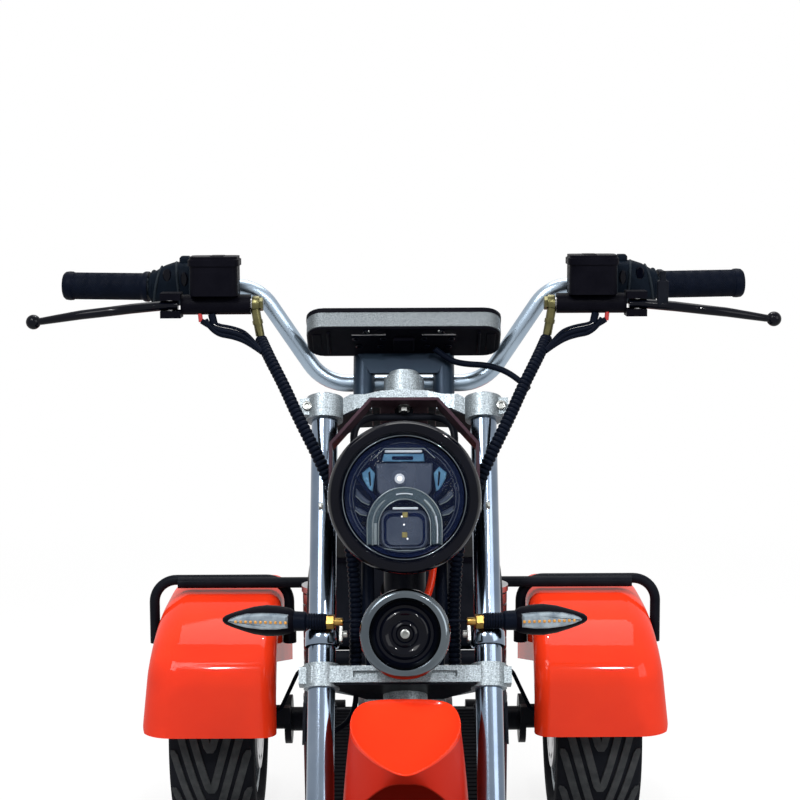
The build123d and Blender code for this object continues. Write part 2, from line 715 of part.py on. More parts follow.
def neck_frame(bars):
    tube = Cylinder(26, YOKE_RISE - 45, align=BASE)
    cup = Cylinder(31, 18, align=BASE)
    head = Pos(0, 0, 24) * tube + Pos(0, 0, 14 + GAP) * cup + Pos(0, 0, YOKE_RISE - 40) * cup
    down = hose([in_fork(0, 0, 120), from_stem(0, 120, -9), (0, FRONT_TUBE_Y, RAIL_Z)], 30, 70)
    brace = hose([in_fork(0, 0, 230), from_stem(0, 148, 71), from_stem(0, 132, -129)], 16, 60)
    bore = Pos(0, 0, -60) * Cylinder(STEM_R + RUN, 500, align=BASE)
    frame = FORK * head + down + brace
    return frame - FORK * bore - bars


def deck_plan(z, widen, y0, y1):
    """Plan outline of the deck, as wide as the rails' middles plus a width."""
    grow = (RAIL_X - RAIL_FRONT_X) / (DECK_REAR - DECK_FRONT)
    front = RAIL_FRONT_X + grow * (y0 - DECK_FRONT) + widen
    rear = RAIL_FRONT_X + grow * (y1 - DECK_FRONT) + widen
    outline = [(-front, y0), (front, y0), (rear, y1), (-rear, y1)]
    return Pos(0, 0, z) * make_face(Polyline(*outline, close=True))


BOX_FLOOR = 146
BOX_Y = (DECK_FRONT + 49, DECK_REAR - 14)
BOX_SIDE = -RAIL_R - 2


def battery_box():
    box = extrude(deck_plan(BOX_FLOOR, BOX_SIDE, *BOX_Y), amount=DECK_Z - BOX_FLOOR)
    room = deck_plan(BOX_FLOOR + 3, BOX_SIDE - 3, BOX_Y[0] + 3, BOX_Y[1] - 3)
    return box - extrude(room, amount=DECK_Z)


def battery():
    plan = deck_plan(BOX_FLOOR + 3, BOX_SIDE - 12, BOX_Y[0] + 20, BOX_Y[1] - 20)
    return extrude(plan, amount=150)


def footboard():
    plate = extrude(deck_plan(DECK_Z, 14, DECK_FRONT, DECK_REAR), amount=DECK_T)
    y, z = DECK_FRONT, DECK_Z
    toe = [(y, z), (y, z + DECK_T), (y - 27, z + 58), (y - 33, z + 54), (y - 4, z)]
    plate += side_prism(toe, -RAIL_FRONT_X - 14, RAIL_FRONT_X + 14)
    return plate - block((-34, 34), (y - 75, y + 51), (RAIL_Z - 18, z + 86))


def heel_guards():
    side = RAIL_X + 4
    top = DECK_Z + DECK_T
    y = DECK_REAR
    outline = [(y - 188, top), (y - 23, top), (y - 23, top + 52), (y - 148, top + 52)]
    guard = side_prism(outline, side, side + 4)
    for back in (133, 93, 53):
        guard -= Pos(side, y - back, top + 26) * Rot(0, 90, 0) * Cylinder(13, 30)
    return pair(guard)


# Seat group: places from the rear axle along the vehicle, heights from the mudguards' top
SEAT_LINE = ((-292, 111), (210, 145))
SEAT_FRONT = -324
SEAT_BACK = 216
PAN_T = 8
COWL_HALF = 124
COWL_WALL = 4


def seat_z(y):
    (y0, z0), (y1, z1) = SEAT_LINE
    return z0 + (z1 - z0) * (y - y0) / (y1 - y0)


def seat_cowl(holes):
    """Open-topped body panel under the seat, rounded below."""
    y1, z1 = SEAT_LINE[1]
    outline = [(-342, -39), (-320, seat_z(-320)), (y1, z1), (220, 96), (74, 13), (-102, -21)]
    body = side_prism(outline, -COWL_HALF, COWL_HALF)
    edges = body.edges().filter_by(Axis.X).group_by(Axis.Z)
    body = fillet(edges[0] + edges[1] + edges[2], 22)
    inner = [(-336, -35), (-314, seat_z(-314) + 9), (y1 - 6, z1 + 9), (214, 99), (72, 18), (-101, -16)]
    body -= side_prism(inner, COWL_WALL - COWL_HALF, COWL_HALF - COWL_WALL)
    return AT_TAIL * body - holes


def seat_pan():
    y0, y1 = SEAT_FRONT, SEAT_BACK
    low = [(y0, seat_z(y0)), (y1, seat_z(y1))]
    high = [(y, z + PAN_T) for y, z in reversed(low)]
    return AT_TAIL * side_prism(low + high, -134, 134)


def cushion(top, half, round_r):
    """Soft block on the seat pan: top line of (y, z) points, half width, edge radius."""
    first, last = top[0][0], top[-1][0]
    foot = [(y, seat_z(y) + PAN_T + GAP) for y in (last, first)]
    body = side_prism(top + foot, -half, half)
    upper = [e for e in body.edges() if e.center().Z > seat_z(e.center().Y) + 30]
    return AT_TAIL * fillet(upper, round_r)


SEATS = {
    "driver_seat": (
        [(SEAT_FRONT, 157), (-286, 191), (-172, 199), (-52, 205), (-2, 237), (26, 241)],
        140,
        16,
    ),
    "passenger_seat": ([(36, 211), (118, 207), (SEAT_BACK, 213)], 104, 20),
}


def tail_lamps(cowl):
    """Wide tail lamp and two bullet signals on the cowl's back panel."""
    lamp = side_prism([(198, 103), (240, 107), (236, 135), (198, 131)], -70, 70)
    lamp = fillet(lamp.edges().filter_by(Axis.X).sort_by(Axis.Y)[-2:], 6)
    bullet = [(0, 0), (8, 0), (8, 10), (14, 13), (18, 20), (18, 30), (14, 38), (0, 42)]
    signal = Pos(97, 212.5, 119) * spun(bullet, Axis.Y)
    inside = side_prism([(58, 51), (217.5, 91), (206, 141), (58, 141)], -130, 130)
    return AT_TAIL * (lamp + pair(signal) - inside) - cowl


# Rear mudguards and the rack that carries them
def fender_lean(z, inset):
    """Position of the outer wall at a height: straight above the hoop's foot line, flared to the lip."""
    lip = REAR_TYRE_R + FENDER_SKIRT
    return FENDER_OUT - inset + FENDER_FLARE * (HOOP_FOOT - z) / (HOOP_FOOT - lip)


def fender_solid(inset):
    """Solid mudguard envelope, moved in by a wall thickness, with rounded shoulders."""
    top = FENDER_TOP - inset
    front = REAR_Y - REAR_REACH + inset
    rear = REAR_Y + REAR_REACH - inset
    crown = (REAR_Y - 42, REAR_Y + 48)
    spring = (FENDER_TOP - FENDER_CROWN[0], FENDER_TOP - FENDER_CROWN[1])
    foot = REAR_TYRE_R
    lines = [
        Line((front, foot), (front, spring[0])),
        EllipticalCenterArc((crown[0], spring[0]), crown[0] - front, top - spring[0], 90, arc_size=90),
        Line((crown[0], top), (crown[1], top)),
        EllipticalCenterArc((crown[1], spring[1]), rear - crown[1], top - spring[1], 0, arc_size=90),
        Line((rear, spring[1]), (rear, foot)),
        Line((rear, foot), (front, foot)),
    ]
    x0 = FENDER_IN + inset
    x1 = FENDER_OUT + 100
    solid = extrude(Plane.YZ.offset(x0) * make_face(lines), amount=x1 - x0)
    low, high = foot - 10, top + 10
    side = [(fender_lean(low, inset), low), (x1 + 10, low), (x1 + 10, high), (fender_lean(high, inset), high)]
    wedge = make_face(Polyline(*side, close=True))
    solid -= extrude(Plane.XZ * wedge, amount=2 * WHEELBASE, both=True)
    shoulder = FENDER_OUT - 40
    outer = [e for e in solid.edges() if e.center().X > shoulder and e.center().Z > foot + 1]
    solid = fillet(outer, FENDER_ROUND[0] - inset)
    inner = [e for e in solid.edges() if abs(e.center().X - x0) < 0.1 and e.center().Z > foot + 1]
    return fillet(inner, FENDER_ROUND[1] - inset)


def rear_fender():
    """Shell over the wheel: deep apron in front, wheel cut-outs on both sides."""
    shell = fender_solid(0) - fender_solid(FENDER_WALL)
    lip = REAR_TYRE_R + FENDER_SKIRT
    under = REAR_TYRE_R - 50
    front = REAR_Y - REAR_REACH
    rear = REAR_Y + REAR_REACH
    start = (front - 20, lip)
    turn = (front + 30, lip)
    end = (rear - 40, lip + 23)
    edge = [
        Line(start, turn),
        ThreePointArc(turn, (REAR_Y, lip + 77), end),
        Line(end, (rear + 20, lip + 23)),
        Line((rear + 20, lip + 23), (rear + 20, under)),
        Line((rear + 20, under), (start[0], under)),
        Line((start[0], under), start),
    ]
    shell -= extrude(Plane.YZ.offset(HALF_TRACK) * make_face(edge), amount=300)
    shell -= block((HALF_TRACK - 300, HALF_TRACK), (start[0], rear + 20), (under, lip))
    inside = [(turn[0], under), (turn[0], lip + 66), (turn[0] + 28, lip + 116), (rear - 14, lip)]
    shell -= side_prism(inside + [(rear - 14, under)], HALF_TRACK - 300, HALF_TRACK)
    return shell


def rear_rack(rails):
    """Cross bar under the rails with a hoop over each mudguard."""
    x0 = FENDER_IN - HOOP_SLEEVE_R - GAP
    x1 = FENDER_OUT + HOOP_R + GAP
    places = [(x0, HOOP_FOOT), (x0, HOOP_Z), (x1, HOOP_Z), (x1, HOOP_FOOT)]
    hoop = hose([(x, HOOP_Y, z) for x, z in places], HOOP_R, 40)
    hoop += rod((x0, HOOP_Y, HOOP_FOOT), (x0, HOOP_Y, HOOP_FOOT + 20), HOOP_SLEEVE_R)
    y = HOOP_Y - 18
    plate = block((140, 150), (y - 10, y + 10), (HOOP_Z - 10, rail_z(y)))
    x, y, z = FENDER_OUT - 35, HOOP_Y - 16, HOOP_Z - 2
    bar = rod((-x, y, z), (x, y, z), 9.5)
    return bar + pair(hoop) + pair(plate) - rails


# Rear running gear
FLANGE_X = (HALF_TRACK - 130, HALF_TRACK - 118)


def swing_arms():
    y0, z0 = PIVOT
    y1, z1 = REAR_Y, REAR_TYRE_R
    outline = [(y0, z0 + 22), (y1, z1 + 24), (y1, z1 - 24), (y0, z0 - 22)]
    arm = side_prism(outline, ARM_X - 12, ARM_X + 12)
    arm += Pos(ARM_X, *PIVOT) * Rot(0, 90, 0) * Cylinder(22, 24)
    arm += Pos(ARM_X, y1, z1) * Rot(0, 90, 0) * Cylinder(34, 24)
    arm += rod((ARM_X, *SHOCK_FOOT), (SHOCK_X + 14, *SHOCK_FOOT), 7)
    arm -= Pos(0, *PIVOT) * Rot(0, 90, 0) * Cylinder(AXLE_R + RUN, 600)
    arm -= Pos(ARM_X, y1, z1) * Rot(0, 90, 0) * Cylinder(BEAM_R + RUN, 60)
    return pair(arm)


def rear_axle():
    beam = rod((MOTOR_HALF, 0, 0), (FLANGE_X[1], 0, 0), BEAM_R)
    flange = rod((FLANGE_X[0], 0, 0), (FLANGE_X[1], 0, 0), 44)
    hub_end = HALF_TRACK + REAR_HUB[1]
    stub = rod((FLANGE_X[1], 0, 0), (hub_end + 16, 0, 0), STUB_R)
    sleeve = rod((FLANGE_X[1], 0, 0), (HALF_TRACK + REAR_DISC_X - GAP, 0, 0), STUB_R + 6)
    nut = rod((hub_end + GAP, 0, 0), (hub_end + 18, 0, 0), 20)
    return AT_AXLE * pair(beam + flange + stub + sleeve + nut)


def motor_housing():
    h = MOTOR_HALF
    r = MOTOR_R
    half = [(h, 0), (h, 40), (h - 12, 60), (h - 14, r - 8), (h - 30, r - 8), (h - 32, r), (20, r)]
    half += [(18, r - 8)]
    outline = half + [(-x, y) for x, y in reversed(half)]
    return AT_AXLE * spun(outline)


def rear_calipers():
    x = HALF_TRACK + REAR_DISC_X
    reach = REAR_DISC_R
    jaw = block((x - 16, x + 18), (-reach - 9, 36 - reach), (8, 54))
    jaw = fillet(jaw.edges().filter_by(Axis.X), 8)
    jaw -= block((x - 5, x + DISC_T + 5), (-reach - 5, 48 - reach), (-10, 90))
    arm = block((FLANGE_X[0], x - 14), (8 - reach, 28 - reach), (14, 44))
    arm += block((FLANGE_X[0], FLANGE_X[1]), (8 - reach, -30), (14, 30))
    part = AT_AXLE * (jaw + arm)
    return pair(part) - rear_axle()


def shock_line(a, b):
    """Two points along the shock, as shares of its length from the foot."""
    (y0, z0), (y1, z1) = SHOCK_FOOT, SHOCK_HEAD
    return [(SHOCK_X, y0 + (y1 - y0) * t, z0 + (z1 - z0) * t) for t in (a, b)]


def rear_shocks():
    body = rod(*shock_line(0.05, 0.5), 15) + rod(*shock_line(0.4, 0.96), 7)
    body += rod(*shock_line(0.07, 0.11), 27) + rod(*shock_line(0.86, 0.9), 27)
    body += Pos(SHOCK_X, *SHOCK_FOOT) * Rot(0, 90, 0) * Cylinder(14, 20)
    body += Pos(SHOCK_X, *SHOCK_HEAD) * Rot(0, 90, 0) * Cylinder(14, 15)
    body -= rod((0, *SHOCK_FOOT), (200, *SHOCK_FOOT), 7 + RUN)
    y, z = SHOCK_HEAD
    body -= block((100, 200), (y - 40, y + 60), (z + 6, z + 100))
    return pair(body)


def rear_springs():
    coils = Part()
    for step in range(9):
        share = 0.12 + step * 0.082
        (start, end) = shock_line(share, share + 0.07)
        coils += rod(start, end, 25) - rod(*shock_line(0, 1), 19)
    sleeve = rod(*shock_line(0.112, 0.858), 21) - rod(*shock_line(0, 1), 19)
    return pair(coils + sleeve)


def rear_hoses():
    end = HALF_TRACK + REAR_DISC_X - 23
    points = [(88, -26, 96), (150, -42, 130), (end - 48, -52, 100), (end - 18, -82, 40), (end, -74, 36)]
    run = AT_AXLE * hose(points, 3.5, [25, 18, 10])
    return pair(run) - motor_housing() - rear_calipers()


def build():
    """Every node by name."""
    nodes = dict(front_wheel())
    for name, shape in rear_wheel().items():
        nodes["rear_" + name + "_right"] = shape
        nodes["rear_" + name + "_left"] = mirror(shape, Plane.YZ)
    right_rail = rail()
    rails = pair(right_rail)
    nodes["rail_right"] = right_rail
    nodes["rail_left"] = mirror(right_rail, Plane.YZ)
    nodes["cross_tubes"] = cross_tubes(rails) + rail_brackets(rails) + swing_pivot()
    nodes["neck_frame"] = neck_frame(nodes["cross_tubes"])
    nodes["battery_box"] = battery_box()
    nodes["battery"] = battery()
    nodes["footboard"] = footboard() + heel_guards() - rails
    nodes["rear_rack"] = rear_rack(rails)
    nodes["seat_cowl"] = seat_cowl(nodes["cross_tubes"] + nodes["rear_rack"])
    nodes["seat_pan"] = seat_pan()
    for name, (top, half, round_r) in SEATS.items():
        nodes[name] = cushion(top, half, round_r)
    nodes["rear_lamps"] = tail_lamps(nodes["seat_cowl"])
    nodes["rear_fender_right"] = rear_fender()
    nodes["rear_fender_left"] = mirror(nodes["rear_fender_right"], Plane.YZ)
    nodes["swing_arms"] = swing_arms()
    nodes["rear_axle"] = rear_axle()
    nodes["motor_housing"] = motor_housing()
    nodes["rear_calipers"] = rear_calipers()
    nodes["rear_shocks"] = rear_shocks() + rear_springs()
    nodes["rear_hoses"] = rear_hoses()
    nodes["lower_yoke"] = lower_yoke()
    nodes["upper_yoke"] = upper_yoke()
    nodes["fork_tubes"] = fork_tubes()
    nodes["fork_sliders"] = fork_sliders()
    nodes["front_axle"] = front_axle()
    nodes["front_caliper"] = front_caliper()
    nodes["front_fender"] = front_fender()
    nodes["lower_yoke"] += fender_stay()
    nodes["headlamp_bucket"] = headlamp_bucket()
    nodes["headlamp_lens"] = headlamp_lens()
    nodes["headlamp_module"] = headlamp_module()
    nodes["headlamp_bracket"] = headlamp_bracket()
    nodes["lamp_hoop"] = lamp_hoop()
    nodes["horn"] = horn(nodes["lower_yoke"])
    nodes["handlebar"] = handlebar()
    nodes["display_housing"] = display_housing()
    nodes["bar_risers"] = bar_risers() + display_bracket()
    nodes["grips"] = grips()
    nodes["switch_housings"] = switch_housings()
    nodes["brake_masters"] = brake_masters()
    nodes["brake_levers"] = brake_levers()
    nodes["hose_bundles"] = bundle(1) + bundle(-1) + front_hose()
    nodes["display_screen"] = display_screen()
    nodes["front_signals"] = front_signals() + signal_clamps()
    return nodes


for node_name, node_shape in build().items():
    export_step(node_shape, "parts/" + node_name + ".step")
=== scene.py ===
import math

import bmesh
import bpy
from mathutils import Matrix, Vector


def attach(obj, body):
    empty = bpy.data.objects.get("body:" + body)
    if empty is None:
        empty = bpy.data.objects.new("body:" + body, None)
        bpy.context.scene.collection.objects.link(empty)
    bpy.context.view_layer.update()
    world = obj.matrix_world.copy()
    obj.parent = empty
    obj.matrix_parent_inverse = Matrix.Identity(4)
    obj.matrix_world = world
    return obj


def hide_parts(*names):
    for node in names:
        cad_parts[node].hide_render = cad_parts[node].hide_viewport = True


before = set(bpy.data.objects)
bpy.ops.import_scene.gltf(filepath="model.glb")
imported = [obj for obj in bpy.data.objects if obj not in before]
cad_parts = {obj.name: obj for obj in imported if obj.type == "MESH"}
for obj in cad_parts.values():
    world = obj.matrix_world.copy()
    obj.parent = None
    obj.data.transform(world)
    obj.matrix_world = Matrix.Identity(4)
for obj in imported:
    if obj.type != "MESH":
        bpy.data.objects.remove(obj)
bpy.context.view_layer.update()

bl_info = {
    "name": "Three-wheeled scooter looks",
    "version": (1, 0, 0),
    "blender": (4, 5, 0),
    "location": "View3D > Sidebar > Scooter",
    "description": "Finishes, small parts and stage for a three-wheeled electric scooter",
    "category": "Object",
}

# Shapes are written in millimetres in the frame of what carries them; the model is in metres.
MM = Matrix.Scale(0.001, 4)
QUARTER = math.pi / 2
RAKE = math.radians(28)
LAMP_TILT = math.radians(10)
DISPLAY_TILT = math.radians(35)
STEM_FOOT = Vector((0, -0.438009, 0.568936))


def plane(origin, x_dir, z_dir):
    """Millimetre frame at a point with its x and z directions."""
    z = Vector(z_dir).normalized()
    y = z.cross(Vector(x_dir)).normalized()
    turn = Matrix((y.cross(z), y, z)).transposed().to_4x4()
    return Matrix.Translation(origin) @ turn @ MM


def at(place, point, turn=0.0, axis="X"):
    """Frame moved to one of its points and turned about one of its axes."""
    return place @ Matrix.Translation(point) @ Matrix.Rotation(turn, 4, axis)


def spots(place, points):
    """World points of a list of points in a frame."""
    return [place @ Vector(point) for point in points]


STEM = Matrix.Translation(STEM_FOOT) @ MM
FORK = plane(STEM_FOOT, (1, 0, 0), (0, math.sin(RAKE), math.cos(RAKE)))
LAMP = plane(FORK @ Vector((0, -172, 185)), (1, 0, 0), (0, -math.cos(LAMP_TILT), math.sin(LAMP_TILT)))
HORN = plane(FORK @ Vector((0, -122, 34)), (1, 0, 0), (0, -0.97, 0.243))
BAR = plane(STEM @ Vector((448, 253, 473)), (0, -1, 0), (258, 30, 2))
DISPLAY = plane(STEM @ Vector((0, 197, 415)), (1, 0, 0), (0, math.sin(DISPLAY_TILT), math.cos(DISPLAY_TILT)))
SIGNAL = plane(FORK @ Vector((92, -72, 61.5)), (0, 1, 0), (1, 0.1, 0))
TAIL = Matrix.Translation((0, 0.642, 0.449)) @ MM
HORN_GROWTH = 1.08
FRONT_WHEEL = Vector((0, -0.666, 0.236))
REAR_WHEEL = Vector((0.335, 0.642, 0.2))


def group(name, inputs, outputs):
    """New shader node group with its interface sockets."""
    tree = bpy.data.node_groups.new(name, "ShaderNodeTree")
    for label, kind, default in inputs:
        socket = tree.interface.new_socket(label, in_out="INPUT", socket_type=kind)
        socket.default_value = default
    for label, kind in outputs:
        tree.interface.new_socket(label, in_out="OUTPUT", socket_type=kind)
    return tree, tree.nodes.new("NodeGroupInput"), tree.nodes.new("NodeGroupOutput")


def surface_group():
    """Shared surface: colour clouds, roughness clouds and a fine grain from object coordinates."""
    tree, given, out = group(
        "surface",
        [
            ("Colour", "NodeSocketColor", (0.5, 0.5, 0.5, 1)),
            ("Shade", "NodeSocketColor", (0.4, 0.4, 0.4, 1)),
            ("Rough", "NodeSocketFloat", 0.4),
            ("Vary", "NodeSocketFloat", 0.1),
            ("Scale", "NodeSocketFloat", 60.0),
            ("Grain", "NodeSocketFloat", 600.0),
            ("Bump", "NodeSocketFloat", 0.05),
        ],
        [("Colour", "NodeSocketColor"), ("Rough", "NodeSocketFloat"), ("Normal", "NodeSocketVector")],
    )
    nodes, link = tree.nodes, tree.links.new
    place = nodes.new("ShaderNodeTexCoord")
    cloud = nodes.new("ShaderNodeTexNoise")
    cloud.inputs["Detail"].default_value = 4
    grain = nodes.new("ShaderNodeTexNoise")
    grain.inputs["Detail"].default_value = 2
    contrast = nodes.new("ShaderNodeMapRange")
    contrast.inputs["From Min"].default_value = 0.3
    contrast.inputs["From Max"].default_value = 0.7
    mix = nodes.new("ShaderNodeMix")
    mix.data_type = "RGBA"
    spread = nodes.new("ShaderNodeMath")
    spread.operation = "MULTIPLY_ADD"
    bump = nodes.new("ShaderNodeBump")
    bump.inputs["Distance"].default_value = 0.001
    link(place.outputs["Object"], cloud.inputs["Vector"])
    link(place.outputs["Object"], grain.inputs["Vector"])
    link(given.outputs["Scale"], cloud.inputs["Scale"])
    link(given.outputs["Grain"], grain.inputs["Scale"])
    link(cloud.outputs["Fac"], contrast.inputs["Value"])
    link(contrast.outputs["Result"], mix.inputs["Factor"])
    link(given.outputs["Colour"], mix.inputs["A"])
    link(given.outputs["Shade"], mix.inputs["B"])
    link(contrast.outputs["Result"], spread.inputs[0])
    link(given.outputs["Vary"], spread.inputs[1])
    link(given.outputs["Rough"], spread.inputs[2])
    link(grain.outputs["Fac"], bump.inputs["Height"])
    link(given.outputs["Bump"], bump.inputs["Strength"])
    link(mix.outputs["Result"], out.inputs["Colour"])
    link(spread.outputs[0], out.inputs["Rough"])
    link(bump.outputs["Normal"], out.inputs["Normal"])
    return tree


def gloss(level):
    """Extra that sets how much light a finish mirrors at its surface."""
    return {"Specular IOR Level": level}


COAT = {"Coat Weight": 0.5, "Coat Roughness": 0.05}
DULL = gloss(0.03)
FAINT = gloss(0.012)
PAINT = {"Coat Weight": 0.3, "Coat Roughness": 0.06, **gloss(0.0)}
LACQUER = {"Coat Weight": 0.12, "Coat Roughness": 0.04, **gloss(0.05)}
CLEAR = {"Alpha": 0.16, **gloss(0.1)}
# Emission strengths that paint highlights in the headlamp: glint cores and their dimmer halo.
PAINTED_GLINT = {"Emission Strength": 1.0}
PAINTED_GLOW = {"Emission Strength": 0.22}

# Finish table: colour, shade, metallic, roughness, roughness spread, cloud scale, grain scale, bump, extras.
FINISHES = {
    "red_gloss": ((0.84, 0.042, 0.011), (0.78, 0.034, 0.010), 0.0, 0.3, 0.04, 9, 90, 0.02, PAINT),
    # Darker copy of the gloss red paint: painted shade for the front mudguard's skirt and inside.
    "red_painted_shade": ((0.5, 0.02, 0.008), (0.44, 0.017, 0.007), 0.0, 0.36, 0.04, 9, 90, 0.02, gloss(0.06)),
    "satin_black": ((0.004, 0.005, 0.008), (0.008, 0.009, 0.013), 0.0, 0.3, 0.12, 30, 900, 0.06, DULL),
    "gloss_black": ((0.0007, 0.001, 0.003), (0.0015, 0.002, 0.005), 0.0, 0.1, 0.05, 24, 300, 0.01, LACQUER),
    "matte_plastic": ((0.0012, 0.0012, 0.003), (0.0026, 0.0026, 0.005), 0.0, 0.42, 0.14, 40, 1500, 0.2, DULL),
    "grey_plastic": ((0.003, 0.005, 0.009), (0.005, 0.008, 0.013), 0.0, 0.38, 0.12, 40, 1800, 0.2, FAINT),
    # A little lighter than the switch housings: painted highlights on their raised ridges.
    "switch_ridge_highlight": ((0.016, 0.021, 0.027), (0.01, 0.014, 0.019), 0.0, 0.3, 0.1, 40, 1500, 0.1, DULL),
    "cast_silver": ((0.35, 0.4, 0.43), (0.11, 0.13, 0.145), 0.75, 0.4, 0.12, 620, 420, 0.35, {}),
    "speckle_grey": ((0.24, 0.27, 0.29), (0.035, 0.042, 0.046), 0.6, 0.4, 0.12, 1200, 900, 0.3, {}),
    "chrome": ((0.115, 0.135, 0.15), (0.07, 0.085, 0.1), 1.0, 0.12, 0.05, 12, 500, 0.01, {}),
    "tube_chrome": ((0.2, 0.245, 0.31), (0.13, 0.17, 0.23), 1.0, 0.12, 0.06, 14, 500, 0.02, {}),
    "bar_steel": ((0.34, 0.42, 0.5), (0.28, 0.35, 0.43), 1.0, 0.27, 0.1, 25, 700, 0.08, {}),
    "steel": ((0.42, 0.42, 0.43), (0.34, 0.34, 0.35), 1.0, 0.3, 0.12, 40, 900, 0.1, {}),
    "zinc": ((0.34, 0.35, 0.34), (0.22, 0.23, 0.22), 1.0, 0.28, 0.12, 90, 900, 0.08, {}),
    "strap_steel": ((0.044, 0.025, 0.033), (0.028, 0.016, 0.022), 0.2, 0.4, 0.14, 22, 700, 0.1, DULL),
    "brass": ((0.36, 0.22, 0.06), (0.22, 0.14, 0.04), 1.0, 0.3, 0.12, 80, 900, 0.08, {}),
    "olive_metal": ((0.13, 0.12, 0.055), (0.07, 0.066, 0.03), 1.0, 0.3, 0.12, 90, 900, 0.08, {}),
    "rubber": ((0.002, 0.0034, 0.008), (0.003, 0.0048, 0.0105), 0.0, 0.36, 0.12, 50, 1300, 0.2, gloss(0.025)),
    "deck_rubber": ((0.001, 0.001, 0.0015), (0.002, 0.002, 0.003), 0.0, 0.6, 0.1, 50, 900, 0.2, gloss(0.02)),
    "riser_steel": ((0.012, 0.024, 0.04), (0.008, 0.016, 0.03), 0.4, 0.34, 0.1, 30, 700, 0.06, gloss(0.2)),
    "tyre": ((0.006, 0.007, 0.01), (0.012, 0.013, 0.017), 0.0, 0.62, 0.2, 18, 800, 0.3, DULL),
    "tread": ((0.06, 0.063, 0.066), (0.036, 0.039, 0.042), 0.0, 0.72, 0.15, 60, 900, 0.4, DULL),
    "leather": ((0.01, 0.01, 0.011), (0.016, 0.016, 0.017), 0.0, 0.42, 0.16, 35, 420, 0.6, DULL),
    "stitching": ((0.12, 0.012, 0.008), (0.09, 0.01, 0.008), 0.0, 0.6, 0.1, 90, 900, 0.3, {}),
    "lens": ((0.01, 0.014, 0.03), (0.014, 0.02, 0.04), 0.0, 0.03, 0.01, 8, 60, 0.0, CLEAR),
    "screen": ((0.006, 0.007, 0.01), (0.009, 0.01, 0.014), 0.0, 0.07, 0.04, 12, 300, 0.01, {}),
    "lamp_navy": ((0.002, 0.005, 0.022), (0.004, 0.0095, 0.042), 0.0, 0.16, 0.06, 30, 300, 0.02, DULL),
    "lamp_blue": ((0.08, 0.22, 0.4), (0.15, 0.36, 0.56), 0.4, 0.22, 0.08, 60, 300, 0.05, {}),
    # Bright white without metal, so it shows light alike from all sides: white strips in the headlamp and
    # painted highlight lines.
    "lamp_white_highlight": ((0.78, 0.85, 0.92), (0.6, 0.7, 0.82), 0.0, 0.25, 0.08, 60, 300, 0.05, {}),
    "lamp_grey": ((0.1, 0.125, 0.18), (0.055, 0.075, 0.12), 0.6, 0.24, 0.1, 40, 300, 0.05, {}),
    "frost": ((0.06, 0.1, 0.125), (0.02, 0.04, 0.055), 0.2, 0.4, 0.1, 900, 1100, 0.5, {}),
    "led_amber": ((0.6, 0.3, 0.05), (0.42, 0.18, 0.03), 0.0, 0.3, 0.1, 300, 900, 0.05, {}),
    "led_olive": ((0.34, 0.3, 0.1), (0.24, 0.2, 0.07), 0.0, 0.35, 0.1, 300, 900, 0.05, {}),
    "signal_glass": ((0.13, 0.17, 0.21), (0.32, 0.38, 0.42), 0.3, 0.16, 0.08, 90, 300, 0.05, {}),
    # Glowing white: painted glints in the headlamp.
    "painted_glint": ((0.9, 0.94, 1.0), (0.8, 0.88, 1.0), 0.0, 0.2, 0.05, 60, 300, 0.02, PAINTED_GLINT),
    # Dimmer glowing grey: painted halo round the headlamp's glint.
    "glow": ((0.5, 0.56, 0.66), (0.4, 0.46, 0.56), 0.0, 0.3, 0.05, 60, 300, 0.02, PAINTED_GLOW),
    # Light grey for thin lines along edges in the headlamp, which paint highlights on those edges.
    "lamp_edge_highlight": ((0.3, 0.36, 0.38), (0.2, 0.25, 0.28), 0.3, 0.2, 0.05, 60, 300, 0.02, {}),
    "red_lens": ((0.4, 0.006, 0.006), (0.28, 0.004, 0.005), 0.0, 0.1, 0.05, 60, 300, 0.03, COAT),
    "amber_lens": ((0.6, 0.17, 0.01), (0.48, 0.12, 0.008), 0.0, 0.1, 0.05, 60, 300, 0.03, COAT),
}


def material(name):
    """The finish of that name, made once: shared surface group into a Principled shader."""
    label = "finish_" + name
    known = bpy.data.materials.get(label)
    if known:
        return known
    colour, shade, metallic, rough, vary, scale, grain, bump, extras = FINISHES[name]
    made = bpy.data.materials.new(label)
    made.use_nodes = True
    nodes, link = made.node_tree.nodes, made.node_tree.links.new
    shader = nodes["Principled BSDF"]
    node = nodes.new("ShaderNodeGroup")
    node.node_tree = bpy.data.node_groups.get("surface") or surface_group()
    values = {"Rough": rough, "Vary": vary, "Scale": scale, "Grain": grain, "Bump": bump}
    node.inputs["Colour"].default_value = (*colour, 1)
    node.inputs["Shade"].default_value = (*shade, 1)
    for key, value in values.items():
        node.inputs[key].default_value = value
    shader.inputs["Metallic"].default_value = metallic
    for key, value in extras.items():
        shader.inputs[key].default_value = value
    link(node.outputs["Colour"], shader.inputs["Base Color"])
    link(node.outputs["Rough"], shader.inputs["Roughness"])
    link(node.outputs["Normal"], shader.inputs["Normal"])
    return made


